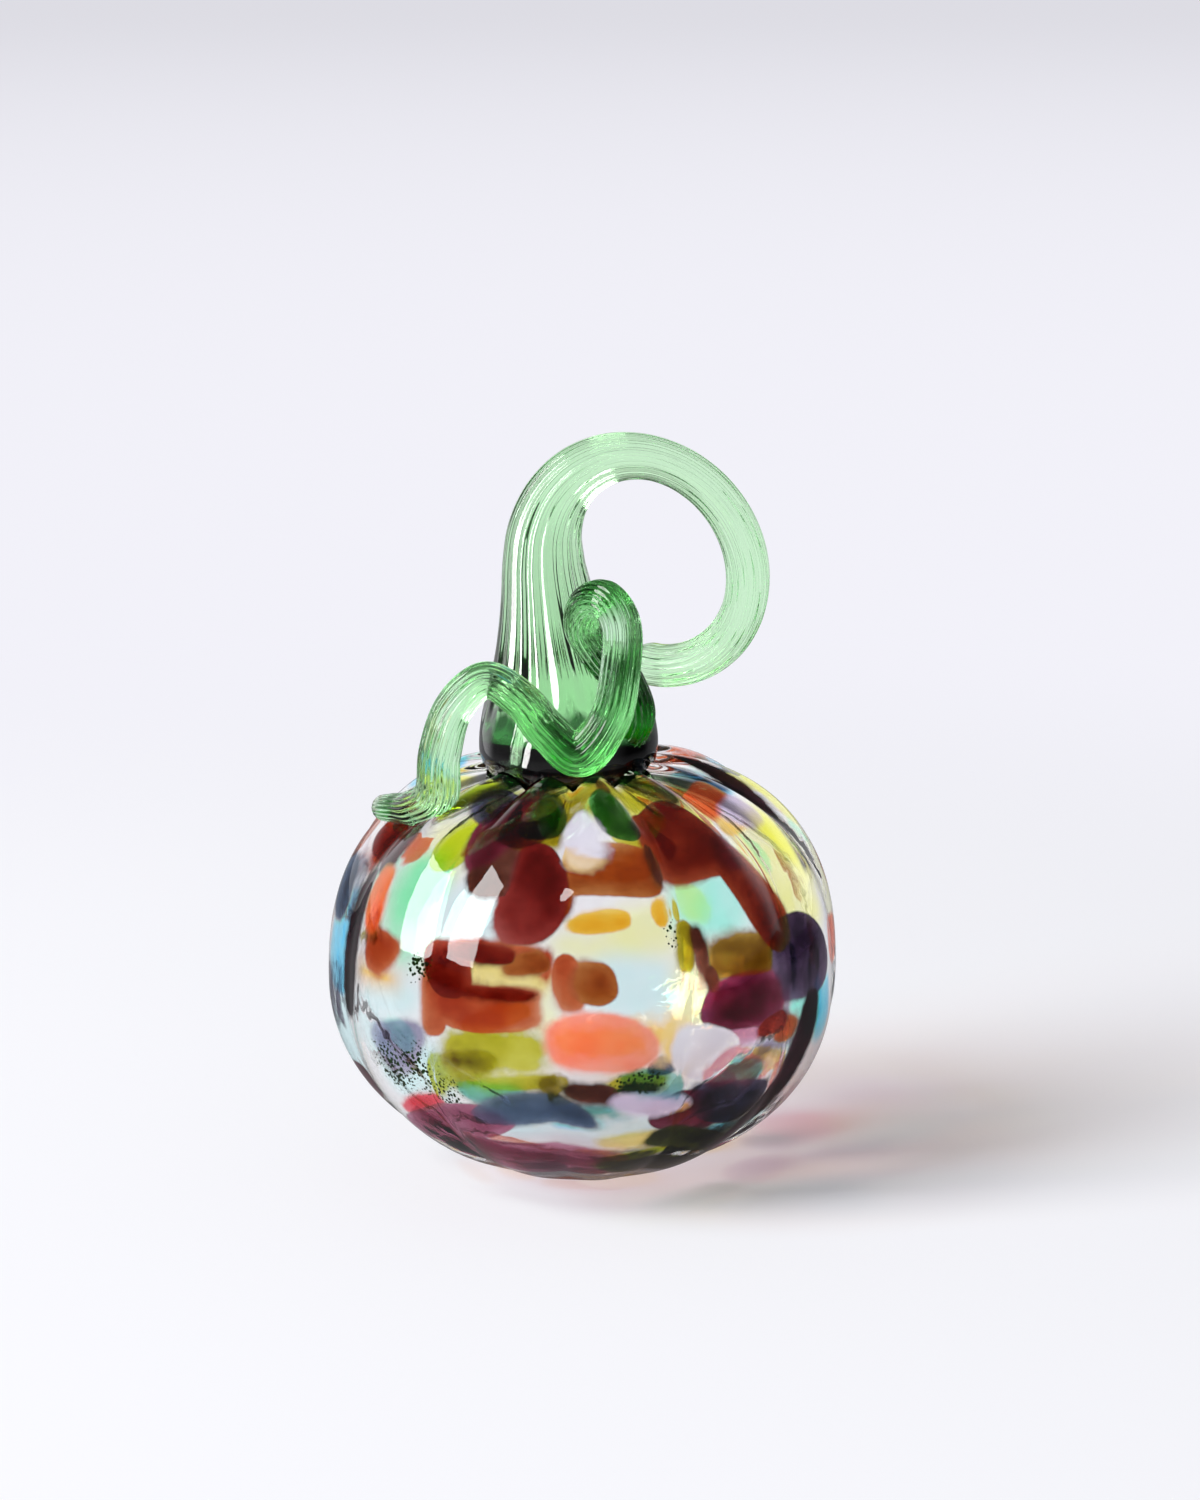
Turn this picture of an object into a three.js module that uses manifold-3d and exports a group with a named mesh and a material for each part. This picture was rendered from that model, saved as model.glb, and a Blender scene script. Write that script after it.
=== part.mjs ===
// Blown glass pumpkin: a hollow ribbed bubble, a thick ribbed stem drawn out into a loop,
// and a thin curling tendril.
// Millimetres, +Z up. The origin is the middle of the flat base, -Y is the front and +X is the front's right.

import * as THREE from "three";
import Module from "manifold-3d";

// Body: a bubble blown in a ribbed mould
const BODY_RADIUS = 45.6;
const WIDEST_HEIGHT = 34;
const SHOULDER_RISE = 41;
const SHOULDER_FULLNESS = 2.5;
const BASE_RADIUS = 15;
const CROWN_DIP = 1.5;
const CROWN_DIP_RADIUS = 12;
const BODY_WALL = 2.6;
const BASE_WALL = 5;
const NECK_RADIUS = 6.5;

// Lobes of the body and the creases between them
const LOBES = 12;
const FIRST_CREASE = -97;
const CREASE_AT_GIRTH = 1.1;
const CREASE_AT_SHOULDER = 2.4;
const CREASE_AT_UNDERSIDE = 1.3;
const SHOULDER_INSET = 20;
const CREASE_FADE = 8;
const INNER_CREASE_SHARE = 0.6;

// Stem: a gather of green glass dropped on the neck, pulled up and wound into a loop
const STEM_OFFSET = -2.4;
const STEM_ROOT_RADIUS = 15.9;
const STEM_TRUNK_RADIUS = 7.9;
const STEM_TIP_RADIUS = 3.9;
const STEM_FLARE_HEIGHT = 20;
const STEM_FLARE_FULLNESS = 2.6;
const STEM_ROOT_EDGE = 3.5;
const STEM_TAPER_START = 22;
const STEM_TAPER_END = 70;
const STEM_PLUG_DEPTH = 2.2;
const STEM_BURY = 5;
const STEM_LEAN = -7;
const STEM_STIFFNESS = 0.45;
const STEM_RIBS = 20;
const STEM_RIB_SHARE = 0.055;
const STEM_RIB_START = 12;
const STEM_RIB_FULL = 30;
const STEM_TWIST = 80;

// Loop of the stem: a tilted ellipse that drifts backwards and stops beside the trunk
const LOOP_LONG_RADIUS = 20.3;
const LOOP_SHORT_RADIUS = 17;
const LOOP_TILT = 120;
const LOOP_LIFT = 14.4;
const LOOP_DRIFT = 17;
const LOOP_DRIFT_POWER = 3;
const LOOP_START = 176;
const LOOP_STOP_FIRST = -45;
const LOOP_STOP_LAST = -135;
const LOOP_TIP_CLEARANCE = 0.5;

// Tendril: a thin green trail that leaves the stem's root, curls in front and lands on the left shoulder
const TENDRIL_RIBS = 20;
const TENDRIL_RIB_SHARE = 0.06;
const TENDRIL_TWIST = 200;
const TENDRIL_SINK = 0.9;

// Gap that stands for each fused joint
const FUSE_GAP = 0.3;

// Fineness of the facets
const FACETS_PER_LOBE = 6;
const BODY_OUTER_RINGS = 18;
const BODY_INNER_RINGS = 12;
const FACETS_PER_RIB = 2;
const STEM_STEPS = 44;
const TENDRIL_STEPS = 58;
const TIP_RINGS = [0.35, 0.7, 0.92];
const FRAMES_PER_STEP = 8;
const OUTLINE_SAMPLES = 60;
const TRUNK_GUIDES = 8;
const LOOP_GUIDES = 16;

const { clamp, degToRad, lerp, radToDeg, smoothstep } = THREE.MathUtils;
const wasm = await Module();
wasm.setup();

// Body outline

// Crown height at a distance from the axis, between the creases
function crownHeight(radius) {
  const inward = clamp(radius / BODY_RADIUS, 0, 1);
  const arch = (1 - inward ** SHOULDER_FULLNESS) ** (1 / SHOULDER_FULLNESS);
  return WIDEST_HEIGHT + SHOULDER_RISE * arch - CROWN_DIP * Math.exp(-((radius / CROWN_DIP_RADIUS) ** 2));
}

// Half outline of the outside, from the rim of the flat base up to the neck
function bodyOutline(neckRadius) {
  const drop = WIDEST_HEIGHT / Math.sqrt(1 - (BASE_RADIUS / BODY_RADIUS) ** 2);
  const rimAngle = Math.acos(BASE_RADIUS / BODY_RADIUS);
  const neckAngle = Math.acos((neckRadius / BODY_RADIUS) ** (SHOULDER_FULLNESS / 2));
  const points = [];
  for (let i = 0; i < OUTLINE_SAMPLES; i += 1) {
    const angle = rimAngle * (1 - i / OUTLINE_SAMPLES);
    points.push(new THREE.Vector2(BODY_RADIUS * Math.cos(angle), WIDEST_HEIGHT - drop * Math.sin(angle)));
  }
  for (let i = 0; i <= OUTLINE_SAMPLES; i += 1) {
    const radius = BODY_RADIUS * Math.cos((neckAngle * i) / OUTLINE_SAMPLES) ** (2 / SHOULDER_FULLNESS);
    points.push(new THREE.Vector2(radius, crownHeight(radius)));
  }
  return new THREE.SplineCurve(points);
}

// Depth of the creases: shallow at the girth, deep on the shoulder, gone at the neck and the flat base
function creaseDepth(radius, height) {
  const inset = smoothstep(BODY_RADIUS - radius, 0, SHOULDER_INSET);
  const above = height > WIDEST_HEIGHT;
  const full = lerp(CREASE_AT_GIRTH, above ? CREASE_AT_SHOULDER : CREASE_AT_UNDERSIDE, inset);
  return full * smoothstep(radius - (above ? NECK_RADIUS : BASE_RADIUS), 0, CREASE_FADE);
}

// Share of the crease depth at an azimuth: 1 in a crease, 0 on the middle of a lobe
function creaseShare(azimuth) {
  return 1 - Math.abs(Math.sin((LOBES / 2) * (azimuth - degToRad(FIRST_CREASE))));
}

// One ring of the body at a place on its outline, set in from the outside by a depth
function bodyRing(outline, place, depth, share, keepRadius) {
  const point = outline.getPointAt(place);
  const along = outline.getTangentAt(place);
  const count = LOBES * FACETS_PER_LOBE;
  const ring = [];
  for (let k = 0; k < count; k += 1) {
    const azimuth = degToRad(FIRST_CREASE) + (2 * Math.PI * k) / count;
    const inset = depth + share * creaseDepth(point.x, point.y) * creaseShare(azimuth);
    const radius = keepRadius ? point.x : point.x - inset * along.y;
    const height = point.y + inset * along.x;
    ring.push(new THREE.Vector3(radius * Math.cos(azimuth), radius * Math.sin(azimuth), height));
  }
  return ring;
}

// Rings of the outside from the base up to the neck, grown outwards by a margin
function outerRings(grow) {
  const outline = bodyOutline(NECK_RADIUS - grow);
  const rings = [];
  for (let i = 0; i <= BODY_OUTER_RINGS; i += 1) {
    rings.push(bodyRing(outline, i / BODY_OUTER_RINGS, -grow, 1, i === BODY_OUTER_RINGS));
  }
  return rings;
}

// Rings of the inside from the neck down to the thick base
function innerRings() {
  const outline = bodyOutline(NECK_RADIUS);
  const rings = [];
  for (let i = BODY_INNER_RINGS; i >= 0; i -= 1) {
    const place = i / BODY_INNER_RINGS;
    const wall = lerp(BASE_WALL, BODY_WALL, smoothstep(outline.getPointAt(place).y, 0, WIDEST_HEIGHT / 2));
    rings.push(bodyRing(outline, place, wall, INNER_CREASE_SHARE, i === BODY_INNER_RINGS));
  }
  return rings;
}

// Surfaces and solids

// Closed skin over a row of rings of equal count, with a point at each end
function skin(startPoint, rings, endPoint) {
  const count = rings[0].length;
  const vertices = [startPoint, ...rings.flat(), endPoint];
  const last = vertices.length - 1;
  const index = [];
  for (let k = 0; k < count; k += 1) {
    const next = (k + 1) % count;
    index.push(0, 1 + next, 1 + k);
    index.push(last - count + k, last - count + next, last);
    for (let i = 0; i < rings.length - 1; i += 1) {
      const low = 1 + i * count;
      const high = low + count;
      index.push(low + k, low + next, high + next);
      index.push(low + k, high + next, high + k);
    }
  }
  const geometry = new THREE.BufferGeometry().setFromPoints(vertices);
  geometry.setIndex(index);
  return geometry;
}

function toSolid(geometry) {
  const vertProperties = new Float32Array(geometry.attributes.position.array);
  const triVerts = new Uint32Array(geometry.index.array);
  return new wasm.Manifold(new wasm.Mesh({ numProp: 3, vertProperties, triVerts }));
}

function toGeometry(solid) {
  const mesh = solid.getMesh();
  const geometry = new THREE.BufferGeometry();
  geometry.setAttribute("position", new THREE.BufferAttribute(mesh.vertProperties, mesh.numProp));
  geometry.setIndex(new THREE.BufferAttribute(mesh.triVerts, 1));
  geometry.computeVertexNormals();
  return geometry;
}

// Ribbed tube along a spine, with a flat start and a rounded tip
function ribbedTube({ spine, steps, ribs, twist, radiusAt, ribDepthAt }) {
  const length = spine.getLength();
  const tipRadius = radiusAt(length);
  const bodyEnd = 1 - tipRadius / length;
  const places = [];
  for (let i = 0; i <= steps; i += 1) {
    places.push((bodyEnd * i) / steps);
  }
  for (const share of TIP_RINGS) {
    places.push(bodyEnd + (1 - bodyEnd) * share);
  }
  const frameCount = steps * FRAMES_PER_STEP;
  const frames = spine.computeFrenetFrames(frameCount, false);
  const count = ribs * FACETS_PER_RIB;
  const rings = places.map((place) => {
    const centre = spine.getPointAt(place);
    const frame = Math.round(place * frameCount);
    const distance = place * length;
    const pastEnd = clamp(1 - (length - distance) / tipRadius, 0, 1);
    const rounding = Math.sqrt(1 - pastEnd ** 2);
    const ring = [];
    for (let k = 0; k < count; k += 1) {
      const angle = (2 * Math.PI * k) / count + degToRad(twist) * place;
      const valley = k % FACETS_PER_RIB === 0 ? 0 : ribDepthAt(distance);
      const radius = (radiusAt(distance) - valley) * rounding;
      const point = centre.clone();
      point.addScaledVector(frames.normals[frame], radius * Math.cos(angle));
      point.addScaledVector(frames.binormals[frame], radius * Math.sin(angle));
      ring.push(point);
    }
    return ring;
  });
  return skin(spine.getPointAt(0), rings, spine.getPointAt(1));
}

// Body solids

// Hollow bubble, open at the neck
function bodyShell() {
  const base = new THREE.Vector3(0, 0, 0);
  const floor = new THREE.Vector3(0, 0, BASE_WALL);
  return skin(base, [...outerRings(0), ...innerRings()], floor);
}

// Outside of the body grown by the fused joint's gap, with a shallow well where the neck is open
function bodySeat() {
  const rings = outerRings(FUSE_GAP);
  const neckHeight = crownHeight(NECK_RADIUS);
  const well = neckHeight - STEM_PLUG_DEPTH;
  rings.push(rings[rings.length - 1].map((point) => new THREE.Vector3(point.x, point.y, well)));
  return skin(new THREE.Vector3(0, 0, -FUSE_GAP), rings, new THREE.Vector3(0, 0, well));
}

// Stem solids

const crown = crownHeight(STEM_ROOT_RADIUS);

function loopCentre() {
  const tilt = degToRad(LOOP_TILT);
  const halfWidth = Math.hypot(LOOP_LONG_RADIUS * Math.cos(tilt), LOOP_SHORT_RADIUS * Math.sin(tilt));
  const halfHeight = Math.hypot(LOOP_LONG_RADIUS * Math.sin(tilt), LOOP_SHORT_RADIUS * Math.cos(tilt));
  return new THREE.Vector3(STEM_LEAN + halfWidth, 0, crown + LOOP_LIFT + halfHeight);
}

// Point of the loop's spine at an angle seen from the front
function loopPoint(degrees) {
  const angle = degToRad(degrees);
  const fromTilt = angle - degToRad(LOOP_TILT);
  const across = Math.hypot(LOOP_SHORT_RADIUS * Math.cos(fromTilt), LOOP_LONG_RADIUS * Math.sin(fromTilt));
  const reach = (LOOP_LONG_RADIUS * LOOP_SHORT_RADIUS) / across;
  const drift = LOOP_DRIFT * ((LOOP_START - degrees) / (LOOP_START - LOOP_STOP_LAST)) ** LOOP_DRIFT_POWER;
  return loopCentre().add(new THREE.Vector3(reach * Math.cos(angle), drift, reach * Math.sin(angle)));
}

// Trunk's spine from under the crown up to the start of the loop
function trunkSpine() {
  const root = new THREE.Vector3(STEM_OFFSET, 0, crown - STEM_BURY);
  const top = loopPoint(LOOP_START);
  const heading = loopPoint(LOOP_START - 1).sub(top).normalize();
  const pull = STEM_STIFFNESS * (top.z - root.z);
  const rootHandle = root.clone().add(new THREE.Vector3(0, 0, pull));
  const topHandle = top.clone().addScaledVector(heading, -pull);
  return new THREE.CubicBezierCurve3(root, rootHandle, topHandle, top);
}

// Stem radius at a distance along the spine above the crown
function stemRadius(above) {
  const taper = lerp(STEM_TRUNK_RADIUS, STEM_TIP_RADIUS, smoothstep(above, STEM_TAPER_START, STEM_TAPER_END));
  const flare = Math.exp(-((Math.max(above, 0) / STEM_FLARE_HEIGHT) ** STEM_FLARE_FULLNESS));
  const underEdge = clamp((STEM_ROOT_EDGE - above) / (2 * STEM_ROOT_EDGE), 0, 1);
  const edge = STEM_ROOT_EDGE * (1 - Math.sqrt(1 - underEdge ** 2));
  return taper + (STEM_ROOT_RADIUS - STEM_TRUNK_RADIUS) * flare - edge;
}

// Angle at which the loop's rounded tip stops, just clear of the trunk
function loopStop(trunk) {
  const samples = trunk.getSpacedPoints(OUTLINE_SAMPLES);
  const step = trunk.getLength() / OUTLINE_SAMPLES;
  const tipTurn = radToDeg(STEM_TIP_RADIUS / LOOP_LONG_RADIUS);
  const gapAt = (degrees) => {
    const tipCentre = loopPoint(degrees + tipTurn);
    const gaps = samples.map((point, i) => tipCentre.distanceTo(point) - stemRadius(i * step - STEM_BURY));
    return Math.min(...gaps) - STEM_TIP_RADIUS;
  };
  let degrees = LOOP_STOP_FIRST;
  while (degrees > LOOP_STOP_LAST && gapAt(degrees) > LOOP_TIP_CLEARANCE) {
    degrees -= 1;
  }
  return degrees;
}

function stemSpine() {
  const trunk = trunkSpine();
  const stop = loopStop(trunk);
  const points = trunk.getPoints(TRUNK_GUIDES);
  for (let i = 1; i <= LOOP_GUIDES; i += 1) {
    points.push(loopPoint(lerp(LOOP_START, stop, i / LOOP_GUIDES)));
  }
  return new THREE.CatmullRomCurve3(points);
}

function stemTube(grow) {
  return ribbedTube({
    spine: stemSpine(),
    steps: STEM_STEPS,
    ribs: STEM_RIBS,
    twist: STEM_TWIST,
    radiusAt: (distance) => stemRadius(distance - STEM_BURY) + grow,
    ribDepthAt: (distance) => {
      const above = distance - STEM_BURY;
      return STEM_RIB_SHARE * stemRadius(above) * smoothstep(above, STEM_RIB_START, STEM_RIB_FULL);
    },
  });
}

// Tendril solids

// Guide beside the stem: azimuth about its root, distance beyond the root's radius, height over the crown
function besideStem(azimuth, beyond, height, radius) {
  const reach = STEM_ROOT_RADIUS + beyond;
  const x = STEM_OFFSET + reach * Math.cos(degToRad(azimuth));
  const y = reach * Math.sin(degToRad(azimuth));
  return { point: new THREE.Vector3(x, y, crown + height), radius };
}

// Guide over the shoulder: azimuth about the body, inset from the girth, height over the glass
function overShoulder(azimuth, inset, height, radius) {
  const reach = BODY_RADIUS - inset;
  const angle = degToRad(azimuth);
  const dip = creaseDepth(reach, crownHeight(reach)) * creaseShare(angle);
  const z = crownHeight(reach) - dip + height;
  return { point: new THREE.Vector3(reach * Math.cos(angle), reach * Math.sin(angle), z), radius };
}

// Guide that lies on the shoulder, sunk a little as soft glass is
function onShoulder(azimuth, inset, radius) {
  return overShoulder(azimuth, inset, radius - TENDRIL_SINK, radius);
}

const tendrilGuides = [
  // Foot on the right of the stem's root, then up its flank
  besideStem(-42, -6, 4, 4.6),
  besideStem(-40, -1.9, 9.5, 4.2),
  besideStem(-47, -2.4, 16.2, 3.6),
  besideStem(-68, -3.2, 21.5, 3.3),
  // Curl to the front and over its top
  besideStem(-81, -2.6, 26.4, 3.2),
  besideStem(-78.5, 0, 30.8, 3.25),
  besideStem(-71.5, 3.6, 31.9, 3.4),
  besideStem(-67, 6.3, 28.4, 3.45),
  // Down the front and through the low bend before the root
  besideStem(-68, 7.2, 20.6, 3.5),
  besideStem(-72, 6.2, 11.8, 3.65),
  besideStem(-85, 4.2, 5.5, 4.1),
  besideStem(-100.5, 3.8, 9.2, 3.7),
  // Hump to the left
  besideStem(-115, 3.7, 14.4, 3.4),
  besideStem(-130, 6.2, 17.7, 3.25),
  overShoulder(-141.5, 17.6, 17.2, 3.5),
  overShoulder(-145, 15.5, 10, 3.75),
  // Landing on the left shoulder and the tail that trails behind it
  onShoulder(-146.5, 15.2, 3.95),
  onShoulder(-153, 13.6, 3.4),
  onShoulder(-163, 12, 2.7),
  overShoulder(-172.5, 9, 2.6, 2.3),
];

function tendrilTube() {
  const spine = new THREE.CatmullRomCurve3(tendrilGuides.map((guide) => guide.point));
  const length = spine.getLength();
  const lastGuide = tendrilGuides.length - 1;
  const guideRadius = (distance) => {
    const along = spine.getUtoTmapping(clamp(distance / length, 0, 1)) * lastGuide;
    const before = Math.min(Math.floor(along), lastGuide - 1);
    const share = smoothstep(along - before, 0, 1);
    return lerp(tendrilGuides[before].radius, tendrilGuides[before + 1].radius, share);
  };
  return ribbedTube({
    spine,
    steps: TENDRIL_STEPS,
    ribs: TENDRIL_RIBS,
    twist: TENDRIL_TWIST,
    radiusAt: guideRadius,
    ribDepthAt: (distance) => TENDRIL_RIB_SHARE * guideRadius(distance),
  });
}

// Assembly

function glassPiece(name, geometry, color, roughness) {
  const material = new THREE.MeshStandardMaterial({ color, roughness, metalness: 0 });
  const mesh = new THREE.Mesh(geometry, material);
  mesh.name = name;
  return mesh;
}

const seat = toSolid(bodySeat());
const stem = toSolid(stemTube(0)).subtract(seat);
const tendril = toSolid(tendrilTube()).subtract(seat).subtract(toSolid(stemTube(FUSE_GAP)));

const pumpkin = new THREE.Group();
pumpkin.name = "blown_glass_pumpkin";
pumpkin.add(glassPiece("body", toGeometry(toSolid(bodyShell())), "#b98f6a", 0.05));
pumpkin.add(glassPiece("stem", toGeometry(stem), "#8fd69a", 0.05));
pumpkin.add(glassPiece("tendril", toGeometry(tendril), "#63b777", 0.05));

export default pumpkin;
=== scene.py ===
import math
from collections import namedtuple

import bpy
import numpy as np
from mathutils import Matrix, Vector


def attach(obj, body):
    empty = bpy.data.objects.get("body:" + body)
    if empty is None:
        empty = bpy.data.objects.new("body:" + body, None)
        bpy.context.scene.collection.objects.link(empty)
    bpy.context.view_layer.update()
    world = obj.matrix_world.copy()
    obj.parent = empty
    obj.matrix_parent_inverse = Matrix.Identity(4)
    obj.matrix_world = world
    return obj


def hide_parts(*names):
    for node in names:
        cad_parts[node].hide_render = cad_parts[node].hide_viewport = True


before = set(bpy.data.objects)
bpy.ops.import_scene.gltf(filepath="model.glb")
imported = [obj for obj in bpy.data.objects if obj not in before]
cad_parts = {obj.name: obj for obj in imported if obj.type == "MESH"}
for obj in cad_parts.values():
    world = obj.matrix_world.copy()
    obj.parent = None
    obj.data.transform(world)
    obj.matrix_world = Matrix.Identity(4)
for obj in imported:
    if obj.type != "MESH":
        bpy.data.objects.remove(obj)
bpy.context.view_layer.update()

# Shapes are worked out in millimetres and turned into metres when a mesh is made
MM = 0.001

# Body: a bubble blown in a ribbed mould
BODY_RADIUS = 45.6
WIDEST_HEIGHT = 34.0
SHOULDER_RISE = 41.0
SHOULDER_FULLNESS = 2.5
BASE_RADIUS = 15.0
CROWN_DIP = 1.5
CROWN_DIP_RADIUS = 12.0
BODY_WALL = 2.6
BASE_WALL = 3.0
NECK_RADIUS = 6.5
BODY_SHRINK = 0.02
GIRTH_SOFTENING = 3.0

# Lobes of the body and the creases between them
LOBES = 12
FIRST_CREASE = -97.0
CREASE_AT_GIRTH = 1.1
CREASE_AT_SHOULDER = 2.4
CREASE_AT_UNDERSIDE = 0.7
CREASE_ROUNDING = 0.07
SHOULDER_INSET = 20.0
CREASE_FADE = 8.0
INNER_CREASE_SHARE = 0.6
HAND_WAVE = 0.12

# Stem: a gather of green glass dropped on the neck, pulled up and wound into a loop
STEM_OFFSET = -2.4
STEM_ROOT_RADIUS = 15.9
STEM_TRUNK_RADIUS = 7.9
STEM_TIP_RADIUS = 3.9
STEM_FLARE_HEIGHT = 20.0
STEM_FLARE_FULLNESS = 2.6
STEM_ROOT_EDGE = 3.5
STEM_TAPER_START = 22.0
STEM_TAPER_END = 70.0
STEM_PLUG_DEPTH = 2.2
STEM_BURY = 5.0
STEM_LEAN = -7.0
STEM_STIFFNESS = 0.45
STEM_RIBS = 20
STEM_RIB_SHARE = 0.072
STEM_RIB_START = 6.0
STEM_RIB_FULL = 18.0
STEM_TWIST = 10.0
TUBE_SHRINK = 0.06
RIB_UNLIKENESS = 0.3

# Loop of the stem: a tilted ellipse that drifts backwards and stops beside the trunk
LOOP_LONG_RADIUS = 20.3
LOOP_SHORT_RADIUS = 17.0
LOOP_TILT = 120.0
LOOP_LIFT = 14.4
LOOP_DRIFT = 17.0
LOOP_DRIFT_POWER = 3
LOOP_START = 176.0
LOOP_STOP_FIRST = -45.0
LOOP_STOP_LAST = -135.0
LOOP_TIP_CLEARANCE = 0.5

# Tendril: a thin green trail that leaves the stem's root, curls in front and lands on the left shoulder
TENDRIL_RIBS = 20
TENDRIL_RIB_SHARE = 0.08
TENDRIL_TWIST = 70.0
TENDRIL_SINK = 0.9

# Gap that stands for each fused joint
FUSE_GAP = 0.3

# Fineness of the meshes
POINTS_PER_LOBE = 24
OUTER_RINGS = 150
INNER_RINGS = 96
FLOOR_RINGS = (0.25, 0.5, 0.75)
POINTS_PER_RIB = 10
STEM_RINGS = 230
TENDRIL_RINGS = 280
TIP_RINGS = 10
OUTLINE_SAMPLES = 400
CURVE_SAMPLES = 60
TRUNK_GUIDES = 8
LOOP_GUIDES = 16
SHARP_ANGLE = 50.0

# Camera of the photograph
PHOTO_WIDTH = 1200
PHOTO_HEIGHT = 1500
CAMERA_ELEVATION = 15.0
CAMERA_DISTANCE = 0.65
CAMERA_TARGET = Vector((0.0, 0.0, 0.06))
PIXELS_PER_MM = 5.644
TARGET_PIXEL = (583.5, 831.3)
SENSOR = 36.0

# Light: one tall soft window at the left front, a pale wall behind, dim sides, front and ceiling
WINDOW_SIZE = (2.0, 3.75)
WINDOW_DISTANCE = 4.0
WINDOW_BEARING = (-0.92, -0.39)
WINDOW_ELEVATION = 28.3
WINDOW_POWER = 256.0
WINDOW_COLOUR = (1.0, 0.99, 0.98)
ROOM_COLOUR = (0.97, 0.97, 1.0)
ROOM_BEHIND = 1.0
ROOM_IN_FRONT = 0.12
ROOM_BRIGHTENS = (0.25, 0.72)
ROOM_WALL_TOP = (0.25, 0.6)
ROOM_TO_THE_CAMERA = 0.8
ROOM_AMBIENT = 0.36
AMBIENT_COLOUR = (0.94, 0.95, 1.0)
FLOOR_SIZE = 16.0
FLOOR_COLOUR = (0.94, 0.945, 0.98)
MIDDLE_FLOOR_COLOUR = (0.89, 0.885, 0.95)
FAR_FLOOR_COLOUR = (0.725, 0.72, 0.775)
MIDDLE_FLOOR = (0.14, 0.45)
FAR_FLOOR = (0.4, 5.0)
FLOOR_IN_MIRROR_IMAGES = 0.25
EXTRA_THROUGH_GLASS = 0.05
PAPER_SCALE = 3.0
PAPER_TONE = (0.985, 1.0)
PAPER_ROUGHNESS = 0.9
PAPER_GLOSS = 0.1
MOST_BOUNCES = 28
GLOSSY_BOUNCES = 12
CLEAR_BOUNCES = 32

# Hand-worked glass: scale and strength of its ripple, scale of its uneven polish
GLASS_IOR = 1.5
LINING_RIPPLE = (160.0, 0.05)
CHIP_RIPPLE = (180.0, 0.06)
GREEN_RIPPLE = (220.0, 0.008)
BODY_POLISH = 60.0
GREEN_POLISH = 90.0
ROUGHEST = 0.01

# Green glass; the tendril has painted shade at the top of its curl and painted light, a paler green, where it
# rises and comes down
GREEN_ABSORPTION = (0.05, 0.94, 0.08)
STEM_DENSITY = 22.0
TENDRIL_DENSITY = 66.0
GREEN_TINT = (0.78, 0.975, 0.75)
CURL_SHADE_TINT = (0.3, 0.6, 0.3)
PALE_LIGHT_TINT = (0.97, 1.0, 0.97)
CURL_HEIGHT = (101.0, 106.0)
TAIL_SIDE = (-24.0, -18.0)
LIMB_SIDE = (0.0, 4.0)

# Gleam of the upright trunk
GLEAM_LEAN = 0.3
GLEAM_IOR = 1.8
GLEAM_UPRIGHT = (0.3, 0.6)
TRUNK_SIDE = (5.0, 8.0)
TRUNK_TOP = (113.0, 119.0)

# Root of the stem: all but black, partly its thick gather and partly painted shade, with painted caustic
# light in brighter green places
ROOT_DARK_AND_SHADE_COLOUR = (0.008, 0.03, 0.01)
ROOT_CAUSTIC_COLOUR = (0.04, 0.34, 0.06)
ROOT_CAUSTIC_SPREAD = (0.5, 0.7)
ROOT_CAUSTIC_SCALE = 120.0
ROOT_CLEARING = (3.5, 5.5)
ROOT_UNEVENNESS = 10.0
ROOT_PATCH_SCALE = 160.0

# Fused joints, where a tint is all that is left of the two surfaces
STEM_JOINT_COLOUR = (0.12, 0.22, 0.1)
TENDRIL_JOINT_COLOUR = (0.85, 0.95, 0.85)
JOINT_INSET = 0.4

# Tint of the light that passes the glass on its way to the floor
PASSING_GREEN = (1.0, 0.88, 1.0)
PASSING_BODY = (1.0, 0.905, 0.94)
SOFT_PASSING = 0.1
CHIP_PASSING = 0.5
LOW_FRONT_PASSING = 0.12
LOW_UP_TO = (4.0, 14.0)
FRONT_UP_TO = (-6.0, 6.0)

# Chips of coloured glass as they look against white, in sRGB
COLOURS = {
    "red": (100, 18, 14),
    "dark_red": (106, 20, 8),
    "rose": (200, 84, 96),
    "bark": (96, 22, 6),
    "maroon": (70, 8, 20),
    "rust": (164, 72, 38),
    "brown": (138, 68, 24),
    "dark_brown": (80, 40, 28),
    "amber": (214, 166, 52),
    "sand": (216, 200, 130),
    "coral": (222, 132, 112),
    "peach": (240, 188, 112),
    "pink": (176, 126, 150),
    "plum": (84, 20, 40),
    "mulberry": (146, 84, 108),
    "purple": (48, 34, 54),
    "navy": (46, 44, 66),
    "black_maroon": (36, 14, 22),
    "slate": (72, 90, 112),
    "mauve": (142, 138, 160),
    "olive": (138, 124, 14),
    "brown_olive": (112, 80, 22),
    "yellow_olive": (176, 172, 56),
    "yellow": (244, 238, 124),
    "lime": (170, 186, 44),
    "leaf": (26, 66, 8),
    "dark_green": (40, 46, 8),
    "mint": (172, 232, 192),
    "aqua": (160, 222, 206),
    "teal": (112, 172, 168),
    "sky": (128, 196, 232),
    "white": (202, 200, 208),
    "lilac": (196, 186, 206),
    "orange": (208, 100, 48),
    "clear": (220, 241, 228),
    "pale_yellow": (246, 244, 182),
    "pale_lime": (222, 238, 172),
    "pale_aqua": (196, 238, 222),
    "pale_blue": (202, 234, 236),
}

# Share of light that the far wall and the surfaces on the way let through, and the most for one wall
OTHER_WALL = 0.72
CLEAREST = 0.985

# Share of milky glass in each chip that isn't clear
MILK = {"coral": 0.5, "peach": 0.25, "white": 0.35, "lilac": 0.25, "orange": 0.5}
MILKY_TRANSMISSION = 0.35

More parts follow.
